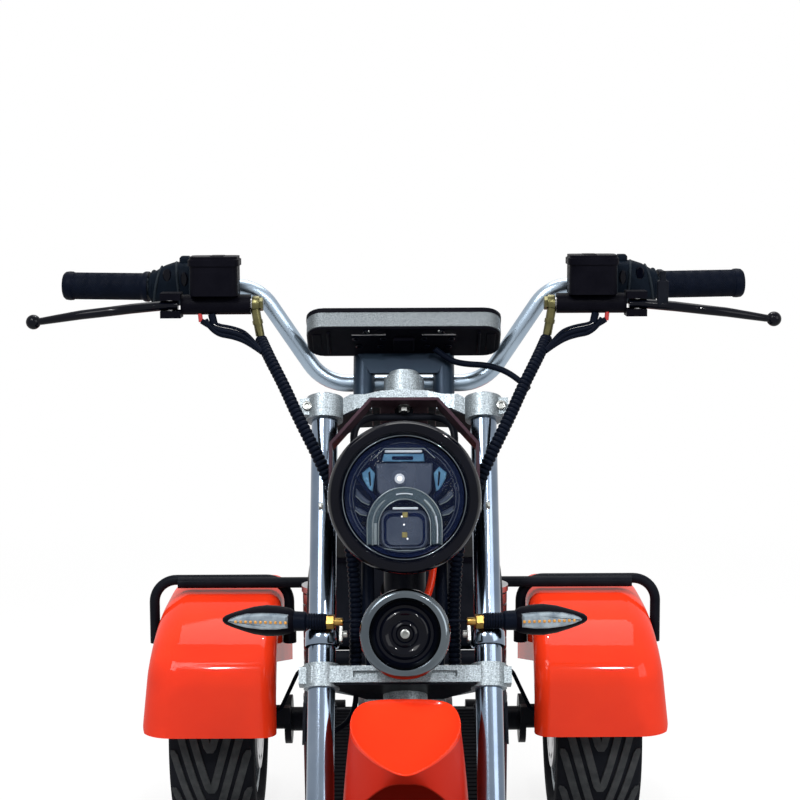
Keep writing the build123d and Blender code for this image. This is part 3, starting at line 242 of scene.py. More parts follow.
# Finish of each CAD node that stays in sight or stands behind a replaced one.
NODE_FINISH = {
    "satin_black": "seat_cowl neck_frame rail_left rail_right cross_tubes battery_box footboard rear_rack "
    "swing_arms rear_axle rear_calipers fork_sliders lamp_hoop brake_levers",
    "matte_plastic": "battery seat_pan rear_lamps brake_masters front_signals",
    "red_gloss": "rear_fender_left rear_fender_right front_fender",
    "leather": "driver_seat passenger_seat",
    "cast_silver": "motor_housing lower_yoke upper_yoke front_caliper front_rim rear_rim_left rear_rim_right",
    "steel": "rear_shocks front_axle front_disc rear_disc_left rear_disc_right",
    "rubber": "rear_hoses grips hose_bundles",
    "tyre": "front_tyre rear_tyre_left rear_tyre_right",
    "tube_chrome": "fork_tubes",
    "gloss_black": "headlamp_bucket",
    "lens": "headlamp_lens",
    "lamp_navy": "headlamp_module",
    "strap_steel": "headlamp_bracket",
    "chrome": "horn",
    "bar_steel": "handlebar",
    "riser_steel": "bar_risers",
    "grey_plastic": "switch_housings",
    "speckle_grey": "display_housing",
    "screen": "display_screen",
}


def rounded(x0, x1, y0, y1, radius, steps=5):
    """Rounded rectangle as an outline."""
    made = []
    corners = ((x1 - radius, y1 - radius), (x0 + radius, y1 - radius))
    corners += ((x0 + radius, y0 + radius), (x1 - radius, y0 + radius))
    for quarter, (x, y) in enumerate(corners):
        for step in range(steps + 1):
            turn = (quarter + step / steps) * math.pi / 2
            made.append((x + radius * math.cos(turn), y + radius * math.sin(turn)))
    return made


def polygon(sides, radius):
    """Regular outline about the origin."""
    turns = (2 * math.pi * step / sides for step in range(sides))
    return [(radius * math.cos(turn), radius * math.sin(turn)) for turn in turns]


def inset(outline, by):
    """Outline moved inwards by a distance."""
    points = [Vector(point) for point in outline]
    area = sum(a.x * b.y - b.x * a.y for a, b in zip(points, points[1:] + points[:1]))
    made = []
    for step, here in enumerate(points):
        before = (here - points[step - 1]).normalized()
        after = (points[(step + 1) % len(points)] - here).normalized()
        side = Vector((-before.y, before.x))
        normal = side + Vector((-after.y, after.x))
        normal = normal.normalized() if normal.length > 1e-6 else side
        reach = by / max(0.4, normal.dot(side)) * (1 if area > 0 else -1)
        made.append(tuple(here + normal * reach))
    return made


def mirrored(half):
    """Closed outline from its right half, listed from bottom to top."""
    return list(half) + [(-x, y) for x, y in reversed(half) if x > 1e-6]


def sided(side, outline):
    """Outline for the right side (1) or its mirror image for the left (-1)."""
    return [(side * x, y) for x, y in outline]


def along(points, place):
    """World points on the NURBS line that has these control points."""
    curve = bpy.data.curves.new("route", "CURVE")
    curve.dimensions = "3D"
    curve.resolution_u = 8
    spline = curve.splines.new("NURBS")
    spline.points.add(len(points) - 1)
    for spot, point in zip(spline.points, points):
        spot.co = (*(place @ Vector(point)), 1)
    spline.order_u = 3
    spline.use_endpoint_u = True
    holder = bpy.data.objects.new("route", curve)
    mesh = bpy.data.meshes.new_from_object(holder)
    line = [vertex.co.copy() for vertex in mesh.vertices]
    bpy.data.objects.remove(holder)
    bpy.data.curves.remove(curve)
    bpy.data.meshes.remove(mesh)
    return line


def flipped(line):
    """World points mirrored across the vehicle's middle."""
    return [Vector((-point.x, point.y, point.z)) for point in line]


class Piece:
    """Mesh under construction: parts are added in a millimetre frame, each with its finish."""

    def __init__(self, name, place=MM):
        self.name = name
        self.place = place
        self.mesh = bmesh.new()
        self.finishes = []

    def index(self, finish):
        if finish not in self.finishes:
            self.finishes.append(finish)
        return self.finishes.index(finish)

    def skin(self, finish, rings, place=None, caps=True, loop=False):
        """Faces over rings of points; capped, or joined end to end as a loop."""
        place = place or self.place
        index = self.index(finish)
        rows = [[self.mesh.verts.new(place @ Vector(point)) for point in ring] for ring in rings]
        pairs = list(zip(rows, rows[1:])) + ([(rows[-1], rows[0])] if loop else [])
        for low, high in pairs:
            for step, here in enumerate(low):
                after = (step + 1) % len(low)
                face = self.mesh.faces.new((here, low[after], high[after], high[step]))
                face.material_index = index
        if caps and not loop:
            for row in (rows[0][::-1], rows[-1]):
                self.mesh.faces.new(row).material_index = index
        return rows

    def lathe(self, finish, profile, place=None, steps=48, loop=False):
        """Turned part from (radius, height) points about the frame's z axis."""
        rings = []
        for radius, height in profile:
            rings.append([(x * radius, y * radius, height) for x, y in polygon(steps, 1)])
        self.skin(finish, rings, place, caps=False, loop=loop)

    def bead(self, finish, radius, height, thick, sides, steps):
        """Round ring about the frame's z axis."""
        profile = [(radius + x, height + y) for x, y in polygon(sides, thick)]
        self.lathe(finish, profile, steps=steps, loop=True)

    def plate(self, finish, outline, low, high, soft=0.0, place=None):
        """Prism of an outline between two heights with softened edges."""
        small = inset(outline, soft) if soft else outline
        layers = [(small, low), (outline, low + soft), (outline, high - soft), (small, high)]
        if not soft:
            layers = [(outline, low), (outline, high)]
        self.skin(finish, [[(x, y, z) for x, y in ring] for ring, z in layers], place)

    def box(self, finish, low, high, soft=1.0, place=None):
        """Block between two corners with softened edges."""
        outline = rounded(low[0], high[0], low[1], high[1], max(soft, 0.2) * 1.5, 3)
        self.plate(finish, outline, low[2], high[2], soft, place)

    def tube(self, finish, line, radius, sides=12):
        """Round run along world points, its radius in millimetres."""
        side = (line[1] - line[0]).orthogonal().normalized()
        rings = []
        for step, point in enumerate(line):
            ahead = (line[min(step + 1, len(line) - 1)] - line[max(step - 1, 0)]).normalized()
            side = (side - ahead * side.dot(ahead)).normalized()
            up = ahead.cross(side)
            rings.append([point + (side * x + up * y) for x, y in polygon(sides, radius * 0.001)])
        self.skin(finish, rings, Matrix())

    def screw(self, finish, place, radius, height):
        """Socket screw head standing on the frame's xy plane."""
        rim = radius - 0.12 * radius
        profile = [(0, 0), (radius, 0), (radius, height - 0.4), (rim, height), (radius * 0.55, height)]
        self.lathe(finish, profile + [(radius * 0.5, height * 0.45), (0, height * 0.45)], place, 20)

    def hexagon(self, finish, place, radius, height):
        """Hex head with a flange under it."""
        self.plate(finish, polygon(6, radius), height * 0.25, height, radius * 0.08, place)
        flange = radius * 1.25
        self.lathe(finish, [(0, 0), (flange, 0), (flange, height * 0.12), (0, height * 0.3)], place, 24)

    def mirror(self):
        """Add the mirror image across the vehicle's middle."""
        parts = self.mesh.verts[:] + self.mesh.edges[:] + self.mesh.faces[:]
        made = bmesh.ops.duplicate(self.mesh, geom=parts)["geom"]
        for part in made:
            if isinstance(part, bmesh.types.BMVert):
                part.co.x = -part.co.x
        faces = [part for part in made if isinstance(part, bmesh.types.BMFace)]
        bmesh.ops.reverse_faces(self.mesh, faces=faces)

    def data(self, sharp=38):
        """The finished mesh with its finishes, smooth up to an angle."""
        bmesh.ops.remove_doubles(self.mesh, verts=self.mesh.verts, dist=1e-6)
        bmesh.ops.recalc_face_normals(self.mesh, faces=self.mesh.faces)
        for edge in self.mesh.edges:
            edge.smooth = edge.calc_face_angle(0) < math.radians(sharp)
        for face in self.mesh.faces:
            face.smooth = True
        made = bpy.data.meshes.new(self.name)
        self.mesh.to_mesh(made)
        self.mesh.free()
        for finish in self.finishes:
            made.materials.append(material(finish))
        return made

    def done(self, body, slot, *replaced, sharp=38):
        """Object of the piece, carried by a body, in place of the CAD nodes named."""
        return placed(self.name, self.data(sharp), body, slot, *replaced)


def placed(name, mesh, body, slot, *replaced):
    """Object of a mesh that rides on a body. The slot argument is not used."""
    made = bpy.data.objects.new(name, mesh)
    bpy.context.collection.objects.link(made)
    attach(made, body)
    if replaced:
        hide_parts(*replaced)
    return made


def node_tree(name, inputs):
    """New geometry node tree with named inputs and one geometry output."""
    tree = bpy.data.node_groups.new(name, "GeometryNodeTree")
    for label, kind in inputs:
        tree.interface.new_socket(label, in_out="INPUT", socket_type=kind)
    tree.interface.new_socket("Geometry", in_out="OUTPUT", socket_type="NodeSocketGeometry")
    return tree, tree.nodes.new("NodeGroupInput"), tree.nodes.new("NodeGroupOutput")


def end_tree(tree, given, out, put):
    """Shape, realised copies and finish at a tree's end."""
    shape = tree.nodes.new("GeometryNodeObjectInfo")
    real = tree.nodes.new("GeometryNodeRealizeInstances")
    paint = tree.nodes.new("GeometryNodeSetMaterial")
    link = tree.links.new
    link(given.outputs["Shape"], shape.inputs["Object"])
    link(shape.outputs["Geometry"], put.inputs["Instance"])
    link(put.outputs["Instances"], real.inputs["Geometry"])
    link(real.outputs["Geometry"], paint.inputs["Geometry"])
    link(given.outputs["Finish"], paint.inputs["Material"])
    link(paint.outputs["Geometry"], out.inputs["Geometry"])


def copies_tree():
    """Copies of a shape, stepped along a line and turned about its points."""
    tree, given, out = node_tree(
        "copies",
        [
            ("Shape", "NodeSocketObject"),
            ("Count", "NodeSocketInt"),
            ("Start", "NodeSocketVector"),
            ("Step", "NodeSocketVector"),
            ("Turn", "NodeSocketVector"),
            ("Finish", "NodeSocketMaterial"),
        ],
    )
    nodes, link = tree.nodes, tree.links.new
    line = nodes.new("GeometryNodeMeshLine")
    number = nodes.new("GeometryNodeInputIndex")
    scale = nodes.new("ShaderNodeVectorMath")
    scale.operation = "SCALE"
    turn = nodes.new("FunctionNodeEulerToRotation")
    put = nodes.new("GeometryNodeInstanceOnPoints")
    link(given.outputs["Count"], line.inputs["Count"])
    link(given.outputs["Start"], line.inputs["Start Location"])
    link(given.outputs["Step"], line.inputs["Offset"])
    link(given.outputs["Turn"], scale.inputs[0])
    link(number.outputs["Index"], scale.inputs["Scale"])
    link(scale.outputs["Vector"], turn.inputs["Euler"])
    link(line.outputs["Mesh"], put.inputs["Points"])
    link(turn.outputs["Rotation"], put.inputs["Rotation"])
    end_tree(tree, given, out, put)
    return tree


def wrap_tree():
    """Copies of a ring along a line of edges, square to it."""
    tree, given, out = node_tree(
        "wrap",
        [
            ("Geometry", "NodeSocketGeometry"),
            ("Shape", "NodeSocketObject"),
            ("Pitch", "NodeSocketFloat"),
            ("Finish", "NodeSocketMaterial"),
        ],
    )
    nodes, link = tree.nodes, tree.links.new
    line = nodes.new("GeometryNodeMeshToCurve")
    even = nodes.new("GeometryNodeResampleCurve")
    even.mode = "LENGTH"
    tangent = nodes.new("GeometryNodeInputTangent")
    turn = nodes.new("FunctionNodeAlignRotationToVector")
    turn.axis = "Z"
    put = nodes.new("GeometryNodeInstanceOnPoints")
    link(given.outputs["Geometry"], line.inputs["Mesh"])
    link(line.outputs["Curve"], even.inputs["Curve"])
    link(given.outputs["Pitch"], even.inputs["Length"])
    link(even.outputs["Curve"], put.inputs["Points"])
    link(tangent.outputs["Tangent"], turn.inputs["Vector"])
    link(turn.outputs["Rotation"], put.inputs["Rotation"])
    end_tree(tree, given, out, put)
    return tree


def baked(tree_name, build, values, base=None):
    """Plain mesh that a node tree gives for its inputs."""
    tree = bpy.data.node_groups.get(tree_name) or build()
    holder = bpy.data.objects.new(tree_name, base or bpy.data.meshes.new(tree_name))
    bpy.context.collection.objects.link(holder)
    step = holder.modifiers.new(tree_name, "NODES")
    step.node_group = tree
    for item in tree.interface.items_tree:
        if item.in_out == "INPUT" and item.name in values:
            step[item.identifier] = values[item.name]
    seen = holder.evaluated_get(bpy.context.evaluated_depsgraph_get())
    mesh = bpy.data.meshes.new_from_object(seen)
    bpy.data.objects.remove(holder)
    return mesh


def copies(shape, count, start, step=(0, 0, 0), turn=(0, 0, 0)):
    """Mesh of copies of a piece, which is used up."""
    finish = shape.finishes[0]
    model = bpy.data.objects.new("shape", shape.data())
    bpy.context.collection.objects.link(model)
    values = {"Shape": model, "Count": count, "Start": start, "Step": step, "Turn": turn}
    mesh = baked("copies", copies_tree, {**values, "Finish": material(finish)})
    bpy.data.objects.remove(model)
    return mesh


def wrapped(shape, line, pitch):
    """Mesh of rings, copies of a piece, along world points."""
    finish = shape.finishes[0]
    model = bpy.data.objects.new("shape", shape.data())
    bpy.context.collection.objects.link(model)
    route = bpy.data.meshes.new("route")
    route.from_pydata(line, [(step, step + 1) for step in range(len(line) - 1)], [])
    values = {"Shape": model, "Pitch": pitch, "Finish": material(finish)}
    mesh = baked("wrap", wrap_tree, values, route)
    bpy.data.objects.remove(model)
    return mesh


def ring_shape(radius, thick, finish, sides=14, steps=20):
    """Round ring about the z axis, in millimetres at the origin."""
    shape = Piece("ring")
    shape.bead(finish, radius, 0, thick, sides, steps)
    return shape


def smoothed(piece, levels):
    """Mesh of a piece after subdivision."""
    holder = bpy.data.objects.new("smooth", piece.data(180))
    bpy.context.collection.objects.link(holder)
    step = holder.modifiers.new("smooth", "SUBSURF")
    step.levels = step.render_levels = levels
    seen = holder.evaluated_get(bpy.context.evaluated_depsgraph_get())
    mesh = bpy.data.meshes.new_from_object(seen)
    bpy.data.objects.remove(holder)
    return mesh


class LookSettings(bpy.types.PropertyGroup):
    """Counts and pitches of the repeated small parts."""

    led_count: bpy.props.IntProperty(
        name="Signal LEDs", description="Lights in each signal", default=11, min=1
    )
    wrap_pitch: bpy.props.FloatProperty(
        name="Wrap pitch", description="Step of the wrap on the hoses", default=0.0062, unit="LENGTH"
    )
    rear_ribs: bpy.props.IntProperty(
        name="Rear tread ribs", description="Ribs on each side of a rear tyre", default=16, min=4
    )
    front_ribs: bpy.props.IntProperty(
        name="Front tread ribs", description="Ribs on each side of the front tyre", default=20, min=4
    )
    knurl: bpy.props.IntProperty(
        name="Knurl", description="Diamonds round a grip", default=34, min=8
    )


class SCOOTER_OT_finishes(bpy.types.Operator):
    """Give every CAD node its finish"""

    bl_idname = "scooter.finishes"
    bl_label = "Finishes"

    def execute(self, context):
        for finish, names in NODE_FINISH.items():
            for name in names.split():
                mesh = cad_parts[name].data
                mesh.materials.clear()
                mesh.materials.append(material(finish))
        return {"FINISHED"}


class SCOOTER_OT_headlamp(bpy.types.Operator):
    """Reflector, light guide and projector behind the lens, with painted highlights and glints, and the
    lamp's bezel
    """

    bl_idname = "scooter.headlamp"
    bl_label = "Headlamp"

    def execute(self, context):
        lamp = Piece("headlamp_reflector", LAMP)
        dish = [(0, -26), (40, -26), (58, -22), (66, -14), (70.4, -12)]
        dish += [(70.4, -15), (60, -24), (40, -28), (0, -28)]
        lamp.lathe("lamp_navy", dish, steps=64)
        for radius, depth in ((61, -19), (64.5, -15)):
            lamp.bead("lamp_grey", radius, depth, 0.7, 6, 64)
        hood = mirrored([(0, 56), (24, 56), (35, 45), (38, 47), (24, 62), (0, 63.5)])
        lamp.plate("lamp_navy", hood, -25, -12, 1)
        brow = ((-36, 46, -12), (-23.5, 57.5, -12), (23.5, 57.5, -12), (36, 46, -12))
        lamp.tube("lamp_edge_highlight", spots(LAMP, brow), 0.6, 8)
        # White strip under the hood: the top reflector, its chrome reflection painted as plain white.
        lamp.plate("lamp_white_highlight", rounded(-23, 21, 52.4, 56, 1.5), -24, -13, 1)
        lamp.plate("lamp_blue", [(-26.5, 42), (24, 42), (23, 51.5), (-24, 51.5)], -25, -16, 0.8)
        lamp.plate("lamp_navy", rounded(-14.5, 10.5, 44, 48.4, 1.5), -20, -15, 0.6)
        bowl = mirrored([(0, 2), (28, 2), (32, 8), (33.5, 40), (0, 41)])
        lamp.plate("lamp_grey", bowl, -25, -17, 1.2)
        # Painted highlight: a glowing white spot with a dimmer glowing halo on a grey disc, for the glare
        # reflected in the bowl.
        for radius, height, finish in ((12, 0.6, "lamp_grey"), (7.2, 1.4, "glow"), (4, 2.2, "painted_glint")):
            spot = [(0, height), (radius * 0.7, height * 0.8), (radius, -0.4), (0, -0.4)]
            lamp.lathe(finish, spot, at(LAMP, (-5.5, 22, -17)), 32)
        facet = [(50, 29), (41, 36), (34.5, 28), (37.5, 7), (41.5, 8.5), (49, 22)]
        slit = [(42.5, 29), (40.2, 31), (39.2, 14), (40.6, 13)]
        fins = [[(57, 11), (48, 1), (40, -5), (41.5, -9), (50, -5), (57.5, 2)]]
        fins.append([(58.5, -10), (50, -14.5), (43.5, -18), (44.5, -21.5), (52, -20), (58, -15)])
        bar = [(56, 25), (60, 26), (36, -4), (32, 0)]
        for side in (-1, 1):
            lamp.plate("lamp_blue", sided(side, facet), -25, -15, 1)
            lamp.plate("gloss_black", sided(side, slit), -18, -14.4)
            lamp.plate("lamp_navy", sided(side, bar), -25, -13.6, 0.8)
            for fin in fins:
                lamp.plate("lamp_grey", sided(side, fin), -25, -13, 1.2)
                # Lighter line along each fin's crest: painted highlight on its upper edge.
                crest = [(x, y, -12.8) for x, y in sided(side, fin[3:6])]
                lamp.tube("lamp_edge_highlight", spots(LAMP, crest), 0.5, 8)
            lamp.screw("gloss_black", at(LAMP, (side * 49, -31, -23)), 3.4, 4)
        arcs = []
        for radius in (44.6, 37.5, 31):
            arc = [(radius, -56)]
            for step in range(25):
                turn = math.pi * step / 24
                arc.append((radius * math.cos(turn), -33 + radius * math.sin(turn)))
            arcs.append(arc + [(-radius, -56)])
        outer, middle, inner = arcs
        lamp.plate("frost", outer + inner[::-1], -24, -10, 1.4)
        # Bright outlines and streaks on the light guide: painted highlights along its edges, sides and top.
        for arc in (outer, inner):
            lamp.tube("lamp_edge_highlight", spots(LAMP, [(x * 0.985, y, -10.2) for x, y in arc]), 0.7, 8)
        streaks = (("lamp_edge_highlight", middle[1:9], 1.6), ("lamp_white_highlight", middle[11:16], 0.8))
        streaks += (("lamp_edge_highlight", middle[-9:], 1.2),)
        for finish, span, thick in streaks:
            lamp.tube(finish, spots(LAMP, [(x, y, -9.8) for x, y in span]), thick, 8)
        # Painted highlight: a white line down the light guide's right side.
        gleam = ((38.4, -54), (38.6, -44), (38.4, -32), (36.6, -22))
        lamp.tube("lamp_white_highlight", spots(LAMP, [(x, y, -8.4) for x, y in gleam]), 0.9, 8)
        lamp.tube("lamp_edge_highlight", spots(LAMP, [(-34.5, y, -9.6) for y in (-55, -45, -30)]), 2.6, 10)
        lamp.plate("lamp_grey", rounded(-29, 28.5, -62, -14.5, 13), -24, -11, 2.5)
        lamp.plate("lamp_navy", rounded(-25, 24.5, -58, -18, 10), -13, -9.8, 1.5)
        lamp.plate("lamp_grey", rounded(-22, 22, -57, -22, 9), -12, -9.2, 1.2)
        lamp.box("lamp_white_highlight", (-14, -14.4, -14), (16, -11.6, -9), 0.8)
        for x, y in ((0.6, -20.5), (0, -44)):
            lamp.box("led_olive", (x - 3.2, y - 3.2, -10.5), (x + 3.2, y + 3.2, -8.4), 0.6)
        # Painted glints: small glowing dots on the projector glass.
        for x, y in ((-0.6, -32), (3.4, -48.5), (-3, -22.5)):
            lamp.lathe("painted_glint", [(0, 0.5), (1.1, 0), (0, 0)], at(LAMP, (x, y, -8.8)), 12)
        chin = ((-24, -60, -10), (-8, -62.5, -10), (10, -62.5, -10), (24, -60, -10))
        lamp.tube("lamp_edge_highlight", spots(LAMP, chin), 0.7, 8)
        lamp.done("steering", "lamp_silver", "headlamp_module")
        bezel = Piece("headlamp_bezel", LAMP)
        bezel.bead("chrome", 72.6, -2, 0.9, 10, 96)
        shell = [(74, -3), (77, 3), (82, 4.5), (86.5, 3), (89.6, -2), (90.4, -9), (90, -18)]
        shell += [(88, -34), (84, -46), (80, -46), (80, -20), (74, -12)]
        bezel.lathe("gloss_black", shell, steps=96, loop=True)
        bezel.done("steering", "gloss_black")
        return {"FINISHED"}


class SCOOTER_OT_lamp_fittings(bpy.types.Operator):
    """Lamp strap and hoop with their bolts, the yokes' screws, and black sheets under the yokes that paint
    their shaded undersides
    """

    bl_idname = "scooter.lamp_fittings"
    bl_label = "Lamp and yoke fittings"

    def execute(self, context):
        fittings = Piece("fork_fittings", FORK)
        fittings.hexagon("zinc", at(FORK, (98, -108, 195), QUARTER, "Y"), 5, 5)
        washer = [(0, 0), (9, 0), (9, 1.4), (0, 1.4)]
        fittings.lathe("zinc", washer, at(FORK, (91, -108, 195), QUARTER, "Y"), 24)
        fittings.screw("zinc", at(FORK, (122, -58, 342), QUARTER), 6, 4)
        fittings.mirror()
        # Painted shade: a black sheet under the upper yoke's web darkens its shaded underside.
        web = [(30, -28.5, 348.6), (60, -34, 347), (86, -47, 330.6)]
        web = [(-x, y, z) for x, y, z in reversed(web)] + web
        underside = [[(x, y, z), (x, 30, z), (x, 30, z - 2), (x, y, z - 2)] for x, y, z in web]
        fittings.skin("satin_black", underside)
        # Painted shade: a black plate above the strap's tongue and a black block under the yoke's middle
        # darken the shaded gap there.
        fittings.box("satin_black", (-40, -104, 330.2), (40, -16, 333), 0.6)
        fittings.box("satin_black", (-24, -40, 332), (24, -16, 349), 1)
        fittings.hexagon("zinc", at(FORK, (0, -99, 326), math.pi), 6.5, 8)
        fittings.box("satin_black", (-11, -96, 286), (11, -80, 308), 2)
        # Painted shade: a black plate under the lower yoke darkens its shaded underside.
        under = [(-84, -62), (84, -62), (84, -32), (48, 24), (-48, 24), (-84, -32)]
        fittings.plate("satin_black", under, -12.4, -10.2)
        fittings.done("steering", "steel")
        strap = Piece("lamp_strap", FORK)
        side_on = FORK @ Matrix(((1, 0, 0, 0), (0, 0, -1, -108), (0, 1, 0, 0), (0, 0, 0, 1)))
        inner = [(87, 182), (87, 270), (40, 326)]
        outer = [(42, 330), (91, 271.5), (91, 182)]
        ribbon = inner[::-1] + outer[::-1] + sided(-1, outer) + sided(-1, inner)
        strap.plate("strap_steel", ribbon, -13, 13, 0.4, side_on)
        strap.box("strap_steel", (-30, -108, 326.2), (30, -17, 329.8), 0.6)
        strap.done("steering", "strap_steel", "headlamp_bracket")
        hoop = Piece("lamp_guard", FORK)
        bend = [(-58, -88, 226), (-62, -88, 272), (-62, -88, 304), (-44, -88, 316), (-20, -88, 316)]
        line = along(bend + [(0, -88, 316)] + [(-x, y, z) for x, y, z in reversed(bend)], FORK)
        hoop.tube("satin_black", line, 4.6, 16)
        for x in (-8, 8):
            hoop.tube("satin_black", spots(FORK, [(x, -88, z) for z in (314, 320, 327)]), 3.6)
        hoop.done("steering", "black_frame", "lamp_hoop")
        return {"FINISHED"}


class SCOOTER_OT_horn(bpy.types.Operator):
    """Horn with its rolled rim, ridged disc and bracket"""

    bl_idname = "scooter.horn"
    bl_label = "Horn"

    def execute(self, context):
        horn = Piece("horn_unit", HORN @ Matrix.Scale(HORN_GROWTH, 4))
        back = [(0, -36), (28, -36), (32, -34), (40, -24), (46.5, -12), (47, -8)]
        horn.lathe("gloss_black", back + [(40, -8), (0, -8)], steps=64)
        rim = [(47, -9), (49, -5), (49, 0), (48, 4), (45.5, 6.8), (42, 7.6)]
        rim += [(39, 6.6), (37, 3.5), (36.4, -2), (36.4, -9)]
        horn.lathe("chrome", rim, steps=72, loop=True)
        disc = [(36.6, -5), (33, -3), (31, -6), (28, -6.5), (25, -3.6), (22, -3.2), (19, -5.5)]
        disc += [(15, -6), (12.5, -3.4), (10, -3), (8.5, -5), (6, -5), (0, -5)]
        horn.lathe("gloss_black", disc, steps=64)
        horn.screw("zinc", at(HORN, (0, 0, -5)), 5.4, 6.5)
        horn.box("satin_black", (-11, -88, 10), (11, -40, 14), 1, FORK)
        horn.box("satin_black", (-11, -94, 10), (11, -84, 46), 1, FORK)
        horn.done("steering", "chrome", "horn")
        return {"FINISHED"}


class SCOOTER_OT_signals(bpy.types.Operator):
    """Front turn signals: leaf-shaped pods with a row of lights, ribbed stalks and clamps"""

    bl_idname = "scooter.signals"
    bl_label = "Front signals"

    def execute(self, context):
        settings = context.scene.scooter_looks
        pod = Piece("signal_pods", SIGNAL)
        stations = [(39, 8, 8), (41, 13, 13), (46, 15.4, 16), (60, 18, 18.5), (74, 18.7, 19), (90, 16.4, 18)]
        stations += [(104, 12.4, 15), (116, 8.6, 11), (124, 5.4, 7), (127.5, 2.4, 3)]
        rings = [[(x * depth, y * rise, z) for x, y in polygon(28, 1)] for z, rise, depth in stations]
        pod.skin("matte_plastic", rings)
        leaf = [(46, -4), (60, -6), (78, -6.2), (96, -4.4), (108, -1.4), (116, 1.8), (118, 3)]
        leaf += [(116, 4.4), (108, 7.6), (96, 10.8), (78, 12.6), (60, 12.4), (46, 10.6)]
        face = SIGNAL @ Matrix(((0, 0, -1, 0), (0, 1, 0, 0), (1, 0, 0, 0), (0, 0, 0, 1)))
        pod.plate("signal_glass", leaf, 8, 21, 2.2, face)
        ribs = []
        for step in range(7):
            z = 3 + step * 3.2
            ribs += [(9.8, z), (9.8, z + 1.9), (8.4, z + 2.3), (8.4, z + 3)]
        pod.lathe("rubber", [(0, 1), (8, 1)] + ribs + [(9.5, 26), (11.5, 27), (12, 42), (0, 42)], steps=28)
        pod.plate("brass", polygon(6, 9), -8, 2, 0.8)
        pod.lathe("brass", [(0, -18), (4.4, -18), (5, -17), (5, -7), (0, -7)], steps=20)
        pod.mirror()
        pod.done("steering", "signal_shell", "front_signals")
        depth = -21
        first, last = spots(SIGNAL, ((depth, 0, 48), (depth, 0, 108)))
        step = (last - first) / max(1, settings.led_count - 1)
        for side, name in ((1, "signal_leds_right"), (-1, "signal_leds_left")):
            led = Piece("led", at(SIGNAL, (depth, 0, 0)))
            led.box("led_amber", (-1.2, 1.2, -1.6), (1.2, 4.6, 1.6), 0.6)
            origin = SIGNAL @ Vector((depth, 0, 0))
            for vertex in led.mesh.verts:
                vertex.co -= origin
                vertex.co.x *= side
            start = Vector((side * first.x, first.y, first.z))
            mesh = copies(led, settings.led_count, start, Vector((side * step.x, step.y, step.z)))
            placed(name, mesh, "steering", "lens_glass")
        clamp = Piece("signal_bands", FORK)
        band = [(20.2, -9), (20.8, -8), (20.8, 8), (20.2, 9), (19, 8), (19, -8)]
        clamp.lathe("tube_chrome", band, at(FORK, (100, -45, 46)), 40, loop=True)
        clamp.box("zinc", (74, -74, 37), (79, -60, 57), 1)
        clamp.screw("zinc", at(FORK, (74, -67, 47), -QUARTER, "Y"), 4.5, 5)
        wire = along([(76, -72, 61.5), (62, -72, 62), (46, -70, 63), (30, -50, 70)], FORK)
        clamp.tube("rubber", wire, 1.6, 8)
        clamp.mirror()
        clamp.done("steering", "steel")
        return {"FINISHED"}


class SCOOTER_OT_grips(bpy.types.Operator):
    """Knurled grips with a smooth end and an inner flange"""

    bl_idname = "scooter.grips"
    bl_label = "Grips"

    def execute(self, context):
        count = context.scene.scooter_looks.knurl
        steps = count * 4
        flange = ((11.2, -115), (19.5, -115), (20, -114), (20, -110), (18.8, -107.5), (17.6, -106))
        cap = ((17.6, -13.4), (18.9, -12), (19.2, -8), (18.6, -3), (16.6, -0.6), (13, 0), (11.2, 0))
        first, length, rows = -105, 91, 112
        sleeve, diamond_height, diamond_pitch = 17.0, 1.0, 3.1

        def ring(radius, height):
            return [(x * radius, y * radius, height) for x, y in polygon(steps, 1)]

        grip = Piece("grip_sleeves", BAR)
        rings = [ring(*spot) for spot in flange]
        for row in range(rows + 1):
            height = first + length * row / rows
            phase = math.pi * height / diamond_pitch
            points = []
            for step in range(steps):
                turn = 2 * math.pi * step / steps
                bead = abs(math.sin(count * turn / 2 + phase) * math.sin(count * turn / 2 - phase))
                radius = sleeve + diamond_height * bead
                points.append((radius * math.cos(turn), radius * math.sin(turn), height))
            rings.append(points)
        rings += [ring(*spot) for spot in cap]
        grip.skin("rubber", rings, loop=True)
        grip.mirror()
        grip.done("steering", "grip_rubber", "grips")
        return {"FINISHED"}


